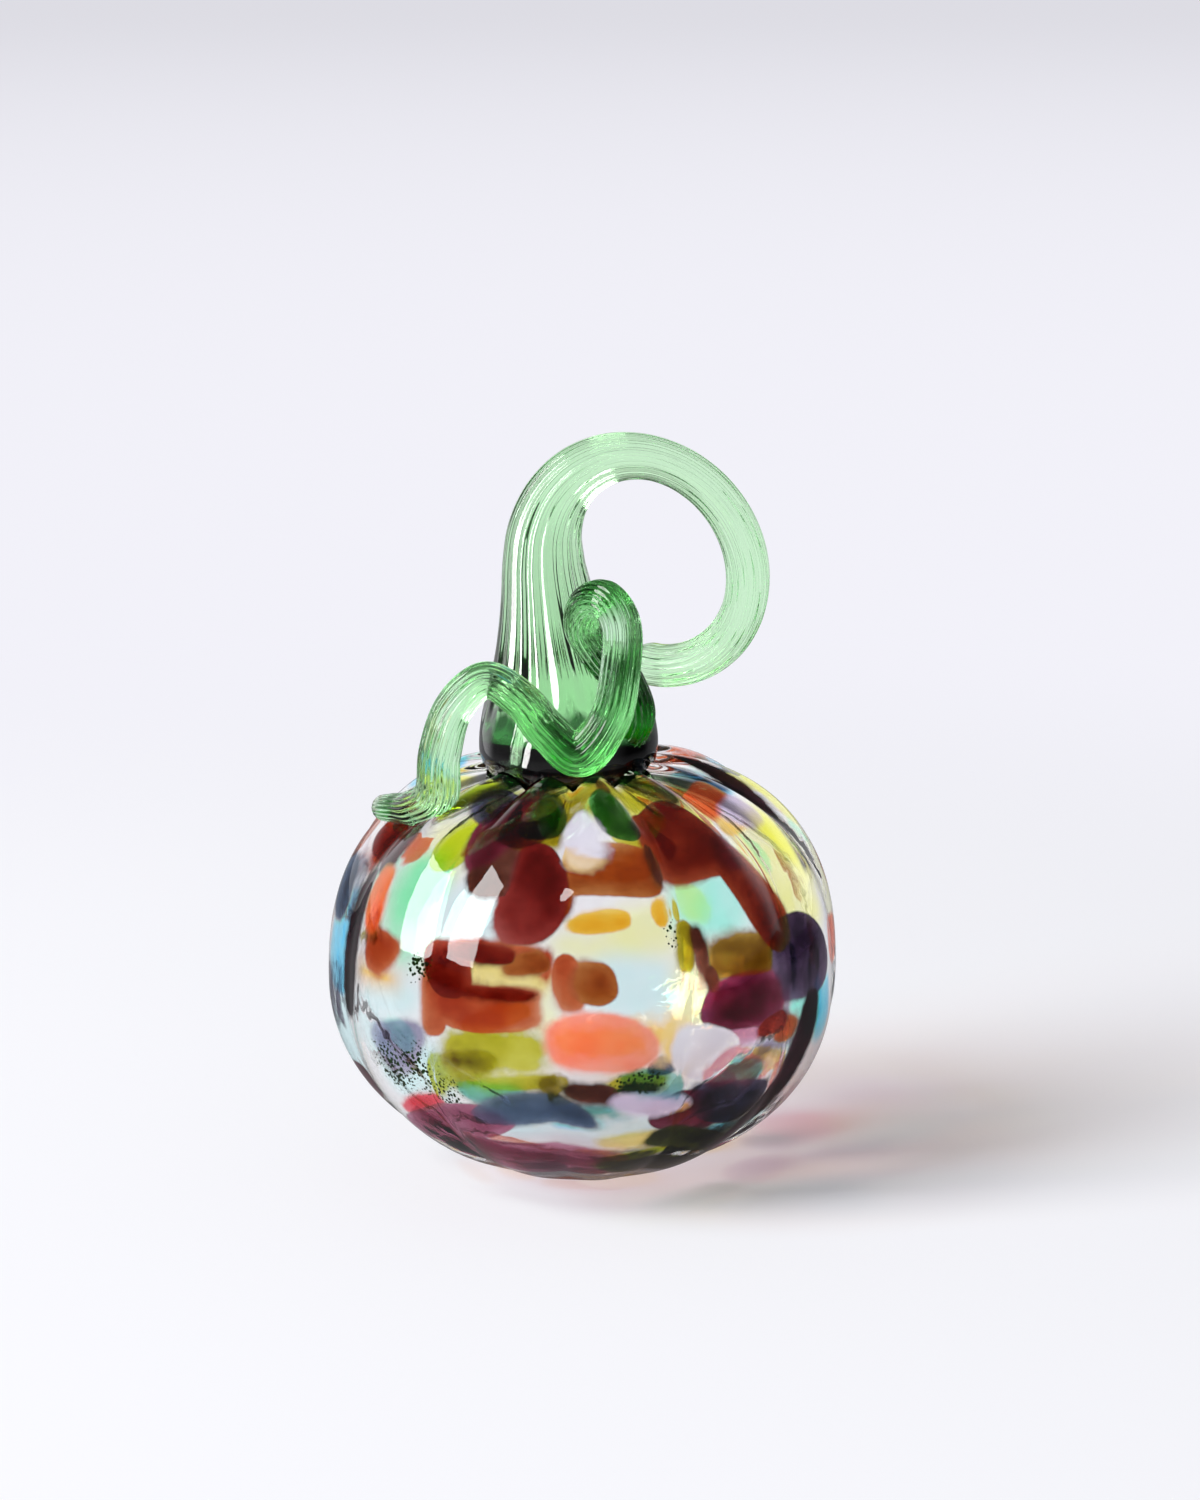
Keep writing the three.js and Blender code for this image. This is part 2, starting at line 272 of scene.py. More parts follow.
# Width of a chip's rim
CRISP = 0.28
SOFT = 0.75
FEATHERED = 3.0
Chip = namedtuple(
    "Chip",
    "colour longitude latitude width height lean edge taper power arch",
    defaults=(0.0, CRISP, 0.0, 2.4, 0.0),
)


def soft(*place, **form):
    return Chip(*place, edge=SOFT, **form)


def faint(*place, **form):
    return Chip(*place, edge=FEATHERED, **form)


# Chips placed one by one: degrees to the right of the front, degrees above the girth, then size in
# millimetres
FRONT_CHIPS = [
    # Collar round the stem
    Chip("amber", -4, 62, 4.4, 10),
    soft("yellow", 12, 64, 6, 9),
    Chip("brown_olive", 9.5, 64, 2.6, 6),
    Chip("leaf", 11, 54, 7.6, 14, -6),
    Chip("yellow_olive", 14, 46.5, 6, 4.4),
    soft("yellow_olive", 29, 63, 9, 10, -8),
    Chip("brown", 41.5, 62, 2.4, 13, -14),
    soft("yellow", 41, 54, 6.5, 14, -12),
    Chip("brown_olive", 50, 61, 4, 14, -16),
    soft("olive", -13, 48, 8, 6),
    Chip("dark_green", -15.3, 54, 7.4, 13),
    Chip("navy", -37.5, 57, 8, 11, 10),
    Chip("lime", -39, 43, 8, 14, 16, taper=0.4),
    Chip("olive", -33.5, 47, 2.6, 12, 18),
    Chip("lime", -55, 54, 7, 12, 14),
    # Upper front
    soft("dark_brown", -23.5, 38, 10, 13),
    soft("brown", -4.5, 33, 3, 9),
    Chip("maroon", -28, 52, 10, 26, 8),
    Chip("brown", 7.5, 38.5, 18.4, 10.5, power=4.0),
    soft("dark_brown", 20, 40, 3, 10),
    Chip("white", -0.5, 47.5, 6.4, 14, edge=0.8, taper=-0.25),
    Chip("red", -13.3, 34, 11.8, 20, taper=-0.18),
    Chip("bark", 29.5, 44.5, 15, 19, -10, power=2.8),
    Chip("bark", 45.4, 30, 10, 27, -22),
    soft("maroon", 42.4, 39.5, 6.4, 10, -20),
    Chip("orange", 56.5, 54, 9.6, 10.5),
    soft("peach", 55, 46, 7, 5),
    soft("lilac", 63, 47.5, 6.5, 8),
    # Middle of the front
    Chip("amber", 3.8, 27.3, 11.2, 4.3),
    Chip("amber", 18.6, 29, 3.2, 5.5),
    soft("rust", -20, 20.6, 17, 3.4, power=3.0),
    soft("sand", -14, 15, 11, 6.4, power=3.0),
    soft("dark_red", -24, 19.4, 15, 4.4, power=3.0),
    soft("brown", -13, 18.4, 9.4, 5.4),
    soft("rust", -8, 17.8, 2.4, 6.4),
    Chip("dark_red", -31, 16, 10.6, 10.4, power=3.0),
    Chip("rust", -35, 7.5, 6.4, 13, power=3.0),
    Chip("rust", -22, 8.4, 22, 8.4, power=4.0),
    soft("dark_red", -23, 11.8, 21, 3, power=3.0),
    Chip("rust", -3.4, 14, 6, 10.6),
    Chip("brown", 1.4, 15.2, 9.6, 8),
    Chip("olive", 23.7, 21, 3.8, 9.4),
    soft("dark_brown", 27, 19.6, 3.6, 10, -10),
    soft("dark_brown", 29.4, 13, 3.8, 7, -14),
    soft("brown_olive", 38, 17, 16, 8.6, power=4.0),
    Chip("purple", 57.3, 11.8, 19, 16),
    soft("pink", 36, 1, 13, 5.4),
    soft("dark_red", 46.6, 0, 10, 5.4),
    soft("rust", 51.5, -2, 9, 6),
    Chip("plum", 39, 7, 20, 10, power=2.8),
    faint("peach", 15, 2.6, 12, 7),
    soft("coral", 3.4, 1.1, 20, 11),
    soft("peach", 21.5, 0.8, 7, 6.6),
    Chip("white", 26.8, -2, 13, 9.8, 24),
    # Left of the front
    soft("slate", -79, 24, 10, 13),
    faint("rust", -69, 33, 7, 7),
    soft("sky", -72, 12, 12, 20),
    Chip("dark_red", -67, 41, 11, 15),
    soft("maroon", -61, 38, 8, 14),
    soft("black_maroon", -66, 14, 7, 30, 3),
    soft("orange", -57.5, 26, 7, 13),
    soft("rust", -52, 15, 10, 9, taper=0.4),
    soft("mauve", -45, -5, 12, 11, taper=0.4),
    # Lower front
    Chip("yellow_olive", -19.3, -1.8, 21, 10, edge=2.0, power=3.0),
    faint("brown_olive", -27, -4.5, 8, 3),
    soft("yellow_olive", -14, -8, 14, 4),
    soft("teal", -21, -11, 13, 6),
    faint("yellow_olive", -23, -9, 11, 5),
    faint("teal", 3.7, -14.5, 10, 6),
    soft("slate", -12.5, -15, 24, 8, arch=3.5),
    soft("dark_brown", 2, -10, 10, 5.2),
    soft("yellow_olive", 12, -8, 11.4, 4.8),
    soft("dark_green", 12.6, -9.4, 8, 3.4),
    Chip("slate", 17.6, -4.4, 6, 4),
    soft("lilac", 16, -14, 14, 5, 10),
    soft("teal", 36, -8.5, 13, 6.4),
    faint("mauve", 47, -5, 14, 5),
    Chip("navy", 36, -16, 19, 10, 16),
    Chip("plum", 26, -18.5, 15, 10, 24),
    soft("sky", -2, -18.4, 9.4, 5),
    soft("sand", 12.5, -25.5, 13, 5),
    soft("sky", 40, -28, 13, 6, 18),
    Chip("mulberry", -36, -25, 28, 10, -22),
    soft("rose", -43, -20, 13, 5, -22),
    Chip("mulberry", -16, -36, 36, 14, -4, power=3.0),
    soft("black_maroon", 58, -9, 7, 23, 14),
    soft("black_maroon", 49, -27, 8, 22, 28),
    soft("dark_green", 31, -30, 22, 8, 22),
    soft("lime", 14, -33, 13, 5),
    soft("dark_green", 26, -42, 26, 9, 20),
    soft("sky", 66, -1, 9, 12),
]

# Chips of the sides, the back and the underside
BACK_CHIPS = [
    # Behind the dark chips of the front
    soft("peach", 173, 10, 12, 6),
    Chip("plum", -160, 27, 7, 12, -10),
    soft("white", -178, 26, 8, 10),
    Chip("rust", 154, 21, 10, 11, 12),
    Chip("rust", 133, 13, 6, 13, 20),
    Chip("slate", 109, -4, 9, 10),
    Chip("pink", 127, -20, 12, 7),
    # Low chips that colour the shadow
    soft("rose", 109, -38, 17, 11),
    soft("plum", 95, -44, 10, 8),
    soft("rust", -8, -60, 16, 7),
    # More of the back
    Chip("rust", -142, -11, 8, 6),
    soft("peach", -151, -28, 13, 6, 6),
    faint("peach", 174, -38, 18, 10),
    soft("olive", -113, 8, 6, 13, -6),
    Chip("orange", -120, 27, 7, 9),
    # Light chips that may show through the clear parts
    Chip("amber", 160, -2, 5, 4),
    soft("pale_lime", 148, 4, 11, 8),
    soft("aqua", -143, 8, 10, 9),
    soft("mint", 118, 26, 12, 12),
    soft("yellow", -137, 24, 10, 12),
    soft("lime", 122, 4, 6, 9),
    soft("aqua", -107, -24, 12, 9),
    Chip("amber", 108, -34, 12, 8),
    # Sides
    Chip("maroon", 82, -28, 9, 15, 10),
    Chip("coral", 84, 10, 11, 9),
    Chip("brown", 98, 24, 9, 12, 10),
    Chip("rust", -94, 34, 9, 13),
    soft("navy", -88, -4, 8, 14, 8),
    Chip("plum", -76, -24, 13, 10, -16),
    Chip("coral", -98, 14, 9, 8),
    # Round the collar and the shoulder
    soft("black_maroon", 86, 48, 5, 34, 18),
    soft("slate", 70, 61, 6, 13),
    soft("sky", 79, 60, 6, 12),
    soft("yellow", 99, 46, 8, 20, 14),
    soft("sky", 116, 52, 8, 13, 6),
    Chip("orange", 134, 52, 8, 13, 6),
    Chip("lime", 156, 55, 6, 14),
    soft("white", 178, 54, 8, 13),
    Chip("leaf", -156, 56, 6, 13),
    Chip("amber", -132, 53, 7, 13),
    soft("sky", -108, 52, 8, 13),
    soft("yellow", -84, 55, 7, 13),
    # Underside
    soft("yellow_olive", -128, -42, 16, 8, 10),
    Chip("plum", 66, -45, 15, 8),
    Chip("rust", -62, -46, 14, 8),
    soft("teal", 150, -52, 12, 8),
    soft("olive", -165, -54, 12, 7),
    soft("orange", -50, -62, 12, 8),
    soft("peach", 20, -64, 14, 8),
    soft("amber", 100, -60, 14, 9),
]

# Broad tints of the clear glass between the chips
TINTS = [
    faint("yellow", -2, 62, 24, 14),
    faint("yellow_olive", 27, 60, 28, 14),
    faint("yellow", 23, 52, 12, 12),
    faint("olive", -24, 58, 22, 14),
    faint("brown", -19, 44, 12, 9),
    faint("lime", -52, 60, 12, 8),
    faint("pale_lime", -43, 40, 10, 12),
    faint("sand", -23, 15, 22, 12),
    faint("mint", -44, 27, 12, 21),
    faint("pale_blue", -27, 27, 14, 12),
    soft("pale_yellow", 14, 43.5, 11, 4),
    faint("pale_blue", -48, 7, 14, 8),
    faint("pale_yellow", 0.6, 21.6, 12, 6),
    faint("pale_lime", 14, 25, 14, 11),
    faint("pale_aqua", 11.6, 13, 18, 11),
    faint("aqua", 33, 29, 15, 13),
    faint("mint", 26, 33, 6, 14),
    faint("pale_yellow", 64, 35, 27, 20),
    faint("yellow", 70, 38, 7, 12),
    faint("pale_lime", 61, 23, 16, 10),
    faint("pale_yellow", -9, 11, 6, 14),
    faint("pale_lime", 25, 10, 8, 16),
    faint("aqua", 58, 0, 16, 10),
    faint("pale_aqua", -41, -9, 18, 14),
    faint("peach", -53, 10, 12, 4),
    faint("pale_blue", 0, -21, 30, 8),
    faint("teal", 48, -29, 12, 8),
    faint("pale_yellow", 118, 20, 24, 22),
    faint("mint", -128, 12, 18, 18),
    faint("pale_aqua", -90, -14, 20, 18),
    faint("pale_yellow", -150, 40, 24, 14),
    faint("pale_aqua", 100, -18, 20, 18),
]

# Clusters of fine dark green specks
SPECK_COLOUR = (28, 56, 12)
SPECK_CLUSTERS = [
    soft("leaf", -39, 14, 6, 5.5),
    soft("leaf", -32.5, -13, 6.6, 7),
    soft("leaf", 12.5, -8, 10, 4.6),
    soft("leaf", 20.5, 24, 2.4, 5),
    faint("leaf", -44, -9, 16, 12),
]
SPECK_SCALE = 1500.0
SPECK_EDGE = 0.04
SPECK_SPREAD = 1.2
SPECK_REACH = (0.3, 0.6)
SPECK_PATCH_SCALE = 300.0

# Shape of the chips: bend, limits of taper and arch, ragged rims, and room between those of a layer
CHIP_BEND = 0.06
BEND_WAVES = (4.4, 4.0)
TAPER_LIMITS = (0.4, 1.6)
ARCH_LIMIT = 4.0
RIM_SCALE = 420.0
RIM_RAGGEDNESS = 1.6
LAYER_MARGIN = 1.2
FAR_INSIDE = 60.0

# Thickness of the chips from rim to core, thinner and softer to one side, which differs from chip to chip
RIM_THICKNESS = 0.72
CORE_THICKNESS = 1.06
CORE_SHARE = 0.3
THINNING = 0.2
SOFT_SIDE = 0.5
SIDE_TURNS = (37, 53)
STRENGTH_SCALE = 130.0
STRENGTH_RANGE = (0.8, 1.25)

# Unevenness of the blown wall: share, then turns, length in millimetres and phase of two waves
HAND_WAVES = (
    (0.3, (3, 11.0, 0.0), (2, -17.0, 1.3)),
    (0.2, (7, -7.0, 0.6), (4, 9.0, 0.0)),
)


def mix(first, second, share):
    return first + (second - first) * share


def smoothstep(value, low, high):
    share = np.clip((np.asarray(value, float) - low) / (high - low), 0.0, 1.0)
    return share * share * (3.0 - 2.0 * share)


def linear(srgb):
    """Linear light of an sRGB colour given in 0 to 255."""
    share = np.asarray(srgb, float) / 255.0
    return np.where(share <= 0.04045, share / 12.92, ((share + 0.055) / 1.055) ** 2.4)


# Curves


def arc_lengths(points):
    steps = np.linalg.norm(np.diff(points, axis=0), axis=1)
    return np.concatenate([[0.0], np.cumsum(steps)])


def spread_evenly(points, values, places):
    """Points and values of a fine polyline at given lengths along it."""
    reach = arc_lengths(points)
    placed = np.stack([np.interp(places, reach, points[:, i]) for i in range(points.shape[1])], 1)
    return placed, np.interp(places, reach, values)


def directions(points):
    slope = np.gradient(points, axis=0)
    return slope / np.linalg.norm(slope, axis=1, keepdims=True)


def smooth_curve(guides):
    """Centripetal Catmull-Rom curve through the guides, and the guide number at each point."""
    guides = np.asarray(guides, float)
    ends = np.vstack([2 * guides[0] - guides[1], guides, 2 * guides[-1] - guides[-2]])
    share = np.linspace(0.0, 1.0, CURVE_SAMPLES, endpoint=False)[:, None]
    points, numbers = [], []
    for i in range(len(guides) - 1):
        before, start, stop, after = ends[i : i + 4]
        gap_before = np.linalg.norm(start - before) ** 0.5
        gap = np.linalg.norm(stop - start) ** 0.5
        gap_after = np.linalg.norm(after - stop) ** 0.5
        leave = (start - before) / gap_before - (stop - before) / (gap_before + gap) + (stop - start) / gap
        arrive = (stop - start) / gap - (after - start) / (gap + gap_after) + (after - stop) / gap_after
        leave, arrive = leave * gap, arrive * gap
        square = -3 * start + 3 * stop - 2 * leave - arrive
        cube = 2 * start - 2 * stop + leave + arrive
        points.append(start + leave * share + square * share**2 + cube * share**3)
        numbers.append(i + share[:, 0])
    points.append(guides[-1:])
    numbers.append([len(guides) - 1.0])
    return np.vstack(points), np.concatenate(numbers)


# Body


def crown_height(radius):
    inward = np.clip(np.asarray(radius, float) / BODY_RADIUS, 0.0, 1.0)
    arch = (1 - inward**SHOULDER_FULLNESS) ** (1 / SHOULDER_FULLNESS)
    return WIDEST_HEIGHT + SHOULDER_RISE * arch - CROWN_DIP * np.exp(-((radius / CROWN_DIP_RADIUS) ** 2))


def body_outline(neck_radius, rings):
    """Half outline of the outside from the rim of the base to the neck, its directions and lengths."""
    drop = WIDEST_HEIGHT / math.sqrt(1 - (BASE_RADIUS / BODY_RADIUS) ** 2)
    low_turn = np.linspace(math.acos(BASE_RADIUS / BODY_RADIUS), 0.0, OUTLINE_SAMPLES, endpoint=False)
    low = np.stack([BODY_RADIUS * np.cos(low_turn), WIDEST_HEIGHT - drop * np.sin(low_turn)], 1)
    neck_turn = math.acos((neck_radius / BODY_RADIUS) ** (SHOULDER_FULLNESS / 2))
    high_turn = np.linspace(0.0, neck_turn, OUTLINE_SAMPLES)
    radius = BODY_RADIUS * np.cos(high_turn) ** (2 / SHOULDER_FULLNESS)
    high = np.stack([radius, crown_height(radius)], 1)
    fine = np.vstack([low, high])
    length = arc_lengths(fine)[-1]
    along = np.linspace(0.0, length, rings)
    points = spread_evenly(fine, fine[:, 0], along)[0]
    points = soften(points, along)
    return points, directions(points), along


def soften(points, along):
    """Evens out the change of curvature at the girth; both ends stay."""
    reach = max(1, round(GIRTH_SOFTENING / (along[1] - along[0])))
    weights = np.hanning(2 * reach + 3)[1:-1]
    weights /= weights.sum()
    first = 2 * points[0] - points[reach:0:-1]
    last = 2 * points[-1] - points[-2 : -reach - 2 : -1]
    padded = np.vstack([first, points, last])
    return np.stack([np.convolve(padded[:, i], weights, "valid") for i in range(2)], 1)


def crease_depth(radius, height):
    inset = smoothstep(BODY_RADIUS - radius, 0.0, SHOULDER_INSET)
    above = mix(CREASE_AT_GIRTH, CREASE_AT_SHOULDER, inset)
    below = mix(CREASE_AT_GIRTH, CREASE_AT_UNDERSIDE, inset)
    above_fade = smoothstep(radius - NECK_RADIUS, 0.0, CREASE_FADE)
    below_fade = smoothstep(radius - BASE_RADIUS, 0.0, CREASE_FADE)
    return np.where(height > WIDEST_HEIGHT, above * above_fade, below * below_fade)


def crease_share(azimuth):
    """1 in a crease and 0 on the middle of a lobe, with the bottom of the crease rounded."""
    swing = np.sin(LOBES / 2 * (azimuth - math.radians(FIRST_CREASE)))
    rounded = np.sqrt(swing**2 + CREASE_ROUNDING**2) - CREASE_ROUNDING
    return 1 - rounded / (math.sqrt(1 + CREASE_ROUNDING**2) - CREASE_ROUNDING)


def hand_wave(azimuth, along):
    """Slight unevenness of hand-blown glass, from 0 to 1."""
    wave = 0.5
    for share, *waves in HAND_WAVES:
        swing = share
        for turns, length, phase in waves:
            swing = swing * np.sin(turns * azimuth + along / length + phase)
        wave = wave + swing
    return wave


def body_azimuths():
    count = LOBES * POINTS_PER_LOBE
    return math.radians(FIRST_CREASE) + 2 * math.pi * np.arange(count) / count


def body_grid(outline, depth, crease_part, wave):
    """Rings of the body, set in from the outside by a depth."""
    points, tangents, along = outline
    azimuth = body_azimuths()[None, :]
    radius, height = points[:, :1], points[:, 1:]
    fade = smoothstep(along, 0.0, CREASE_FADE) * smoothstep(along[-1] - along, 0.0, CREASE_FADE)
    ripple = wave * fade[:, None] * hand_wave(azimuth, along[:, None])
    inset = depth[:, None] + crease_part * crease_depth(radius, height) * crease_share(azimuth) + ripple
    reach = radius - inset * tangents[:, 1:]
    reach[-1] = radius[-1]
    level = height + inset * tangents[:, :1]
    return np.stack([reach * np.cos(azimuth), reach * np.sin(azimuth), level + 0 * azimuth], 2)


def outer_grid(grow, rings, wave):
    outline = body_outline(NECK_RADIUS - max(grow, 0.0), rings)
    return body_grid(outline, np.full(rings, -grow), 1.0, wave)


def inner_grid():
    outline = body_outline(NECK_RADIUS, INNER_RINGS)
    wall = mix(BASE_WALL, BODY_WALL, smoothstep(outline[0][:, 1], 0.0, WIDEST_HEIGHT / 2))
    grid = body_grid(outline, wall, INNER_CREASE_SHARE, -HAND_WAVE)[::-1]
    centre = np.array([0.0, 0.0, BASE_WALL])
    floor = np.stack([mix(centre, grid[-1], share) for share in FLOOR_RINGS[::-1]])
    return np.concatenate([grid, floor])


# Meshes


def skin_faces(rings, count):
    """Faces of a closed skin over rings of equal count, with a point at each end."""
    faces = []
    last = rings * count + 1
    for k in range(count):
        after = (k + 1) % count
        faces.append((0, 1 + after, 1 + k))
        for i in range(rings - 1):
            low = 1 + i * count
            high = low + count
            faces.append((low + k, low + after, high + after, high + k))
        faces.append((last - count + k, last - count + after, last))
    return faces


def skin_mesh(name, start, grid, stop):
    rings, count = grid.shape[:2]
    vertices = np.vstack([[start], grid.reshape(-1, 3), [stop]]) * MM
    mesh = bpy.data.meshes.new(name)
    mesh.from_pydata(vertices.tolist(), [], skin_faces(rings, count))
    mesh.shade_smooth()
    return mesh


def add_object(name, mesh):
    piece = bpy.data.objects.new(name, mesh)
    bpy.context.scene.collection.objects.link(piece)
    return piece


def cut(piece, cutter):
    """Takes the cutter out of the piece; the new faces keep the cutter's material."""
    modifier = piece.modifiers.new("cut", "BOOLEAN")
    modifier.operation = "DIFFERENCE"
    modifier.solver = "MANIFOLD"
    modifier.material_mode = "TRANSFER"
    modifier.object = cutter
    graph = bpy.context.evaluated_depsgraph_get()
    mesh = bpy.data.meshes.new_from_object(piece.evaluated_get(graph))
    mesh.name = piece.data.name + "_cut"
    piece.modifiers.remove(modifier)
    piece.data = mesh
    mesh.shade_smooth()
    mesh.set_sharp_from_angle(angle=math.radians(SHARP_ANGLE))


def transport_frames(points):
    """Two directions across a spine at each of its points, turning as little as they can."""
    along = directions(points)
    side = np.cross(along[0], np.eye(3)[np.argmin(np.abs(along[0]))])
    normal = np.cross(along[0], side / np.linalg.norm(side))
    normals = [normal]
    for heading in along[1:]:
        normal = normal - heading * np.dot(normal, heading)
        normal = normal / np.linalg.norm(normal)
        normals.append(normal)
    normals = np.array(normals)
    return normals, np.cross(along, normals)


def ribbed_tube(name, spine, rings, ribs, twist, radius_at, rib_depth_at):
    """Ribbed tube along a spine, flat at the start and rounded at the tip."""
    points, numbers = spine
    length = arc_lengths(points)[-1]
    tip_radius = float(radius_at(np.array([length]), np.array([numbers[-1]]))[0])
    straight = np.linspace(0.0, length - tip_radius, rings)
    rounding = length - tip_radius * (1 - np.sin(np.linspace(0.0, math.pi / 2, TIP_RINGS + 2)[1:-1]))
    places = np.concatenate([straight, rounding])
    centres, numbers = spread_evenly(points, numbers, places)
    normals, binormals = transport_frames(centres)
    past_end = np.clip(1 - (length - places) / tip_radius, 0.0, 1.0)
    count = ribs * POINTS_PER_RIB
    around = 2 * math.pi * np.arange(count) / count
    angle = around[None, :] + math.radians(twist) * places[:, None] / length
    valley = 0.5 - 0.5 * np.cos(ribs * around)
    unlike = 1 - RIB_UNLIKENESS * (1 - np.sin(3 * around + 0.7) * np.sin(5 * around))
    radius = radius_at(places, numbers)[:, None] - TUBE_SHRINK
    radius = radius - rib_depth_at(places, numbers)[:, None] * (valley * unlike)[None, :]
    radius = radius * np.sqrt(1 - past_end**2)[:, None]
    sideways = normals[:, None, :] * np.cos(angle)[:, :, None]
    upwards = binormals[:, None, :] * np.sin(angle)[:, :, None]
    grid = centres[:, None, :] + radius[:, :, None] * (sideways + upwards)
    return skin_mesh(name, points[0], grid, points[-1])


# Stem

CROWN = float(crown_height(STEM_ROOT_RADIUS))


def loop_point(degrees):
    tilt = math.radians(LOOP_TILT)
    half_width = math.hypot(LOOP_LONG_RADIUS * math.cos(tilt), LOOP_SHORT_RADIUS * math.sin(tilt))
    half_height = math.hypot(LOOP_LONG_RADIUS * math.sin(tilt), LOOP_SHORT_RADIUS * math.cos(tilt))
    centre = np.array([STEM_LEAN + half_width, 0.0, CROWN + LOOP_LIFT + half_height])
    angle = math.radians(degrees)
    across = math.hypot(LOOP_SHORT_RADIUS * math.cos(angle - tilt), LOOP_LONG_RADIUS * math.sin(angle - tilt))
    reach = LOOP_LONG_RADIUS * LOOP_SHORT_RADIUS / across
    turned = (LOOP_START - degrees) / (LOOP_START - LOOP_STOP_LAST)
    drift = LOOP_DRIFT * turned**LOOP_DRIFT_POWER
    return centre + np.array([reach * math.cos(angle), drift, reach * math.sin(angle)])


def trunk_points(count):
    root = np.array([STEM_OFFSET, 0.0, CROWN - STEM_BURY])
    top = loop_point(LOOP_START)
    heading = loop_point(LOOP_START - 1) - top
    pull = STEM_STIFFNESS * (top[2] - root[2])
    root_handle = root + np.array([0.0, 0.0, pull])
    top_handle = top - pull * heading / np.linalg.norm(heading)
    share = np.linspace(0.0, 1.0, count)[:, None]
    rest = 1 - share
    low_half = rest**3 * root + 3 * rest**2 * share * root_handle
    return low_half + 3 * rest * share**2 * top_handle + share**3 * top


def stem_radius(above):
    taper = mix(STEM_TRUNK_RADIUS, STEM_TIP_RADIUS, smoothstep(above, STEM_TAPER_START, STEM_TAPER_END))
    flare = np.exp(-((np.maximum(above, 0.0) / STEM_FLARE_HEIGHT) ** STEM_FLARE_FULLNESS))
    under_edge = np.clip((STEM_ROOT_EDGE - above) / (2 * STEM_ROOT_EDGE), 0.0, 1.0)
    edge = STEM_ROOT_EDGE * (1 - np.sqrt(1 - under_edge**2))
    return taper + (STEM_ROOT_RADIUS - STEM_TRUNK_RADIUS) * flare - edge


def loop_stop():
    """Angle at which the loop's rounded tip stops, just clear of the trunk."""
    trunk = trunk_points(OUTLINE_SAMPLES)
    surface = stem_radius(arc_lengths(trunk) - STEM_BURY)
    tip_turn = math.degrees(STEM_TIP_RADIUS / LOOP_LONG_RADIUS)
    degrees = LOOP_STOP_FIRST
    while degrees > LOOP_STOP_LAST:
        gaps = np.linalg.norm(trunk - loop_point(degrees + tip_turn), axis=1) - surface
        if gaps.min() - STEM_TIP_RADIUS <= LOOP_TIP_CLEARANCE:
            break
        degrees -= 1.0
    return degrees


def stem_spine():
    stop = loop_stop()
    turns = [mix(LOOP_START, stop, i / LOOP_GUIDES) for i in range(1, LOOP_GUIDES + 1)]
    return smooth_curve(np.vstack([trunk_points(TRUNK_GUIDES + 1), [loop_point(turn) for turn in turns]]))


def stem_mesh(name, grow):
    def rib_depth(places, numbers):
        above = places - STEM_BURY
        return STEM_RIB_SHARE * stem_radius(above) * smoothstep(above, STEM_RIB_START, STEM_RIB_FULL)

    def radius(places, numbers):
        return stem_radius(places - STEM_BURY) + grow

    return ribbed_tube(name, stem_spine(), STEM_RINGS, STEM_RIBS, STEM_TWIST, radius, rib_depth)


def seat_mesh(name):
    """Outside of the body grown by the fused joint's gap, with a shallow well where the neck is open."""
    grid = outer_grid(FUSE_GAP, OUTER_RINGS, HAND_WAVE)
    well = float(crown_height(NECK_RADIUS)) - STEM_PLUG_DEPTH
    bottom = grid[-1:].copy()
    bottom[:, :, 2] = well
    return skin_mesh(name, (0.0, 0.0, -FUSE_GAP), np.concatenate([grid, bottom]), (0.0, 0.0, well))


# Tendril


def beside_stem(azimuth, beyond, height, radius):
    reach = STEM_ROOT_RADIUS + beyond
    angle = math.radians(azimuth)
    return (STEM_OFFSET + reach * math.cos(angle), reach * math.sin(angle), CROWN + height, radius)


def over_shoulder(azimuth, inset, height, radius):
    reach = BODY_RADIUS - inset
    angle = math.radians(azimuth)
    level = float(crown_height(reach))
    dip = float(crease_depth(reach, level) * crease_share(angle))
    return (reach * math.cos(angle), reach * math.sin(angle), level - dip + height, radius)


def on_shoulder(azimuth, inset, radius):
    return over_shoulder(azimuth, inset, radius - TENDRIL_SINK, radius)


TENDRIL_GUIDES = np.array([
    # Foot on the right of the stem's root, then up its flank
    beside_stem(-42, -6, 4, 4.6),
    beside_stem(-40, -1.9, 9.5, 4.2),
    beside_stem(-47, -2.4, 16.2, 3.6),
    beside_stem(-68, -3.2, 21.5, 3.3),
    # Curl to the front and over its top
    beside_stem(-81, -2.6, 26.4, 3.2),
    beside_stem(-78.5, 0, 30.8, 3.25),
    beside_stem(-71.5, 3.6, 31.9, 3.4),
    beside_stem(-67, 6.3, 28.4, 3.45),
    # Down the front and through the low bend before the root
    beside_stem(-68, 7.2, 20.6, 3.5),
    beside_stem(-72, 6.2, 11.8, 3.65),
    beside_stem(-85, 4.2, 5.5, 4.1),
    beside_stem(-100.5, 3.8, 9.2, 3.7),
    # Hump to the left
    beside_stem(-115, 3.7, 14.4, 3.4),
    beside_stem(-130, 6.2, 17.7, 3.25),
    over_shoulder(-141.5, 17.6, 17.2, 3.5),
    over_shoulder(-145, 15.5, 10, 3.75),
    # Landing on the left shoulder and the tail that trails behind it
    on_shoulder(-146.5, 15.2, 3.95),
    on_shoulder(-153, 13.6, 3.4),
    on_shoulder(-163, 12, 2.7),
    over_shoulder(-172.5, 9, 2.6, 2.3),
])


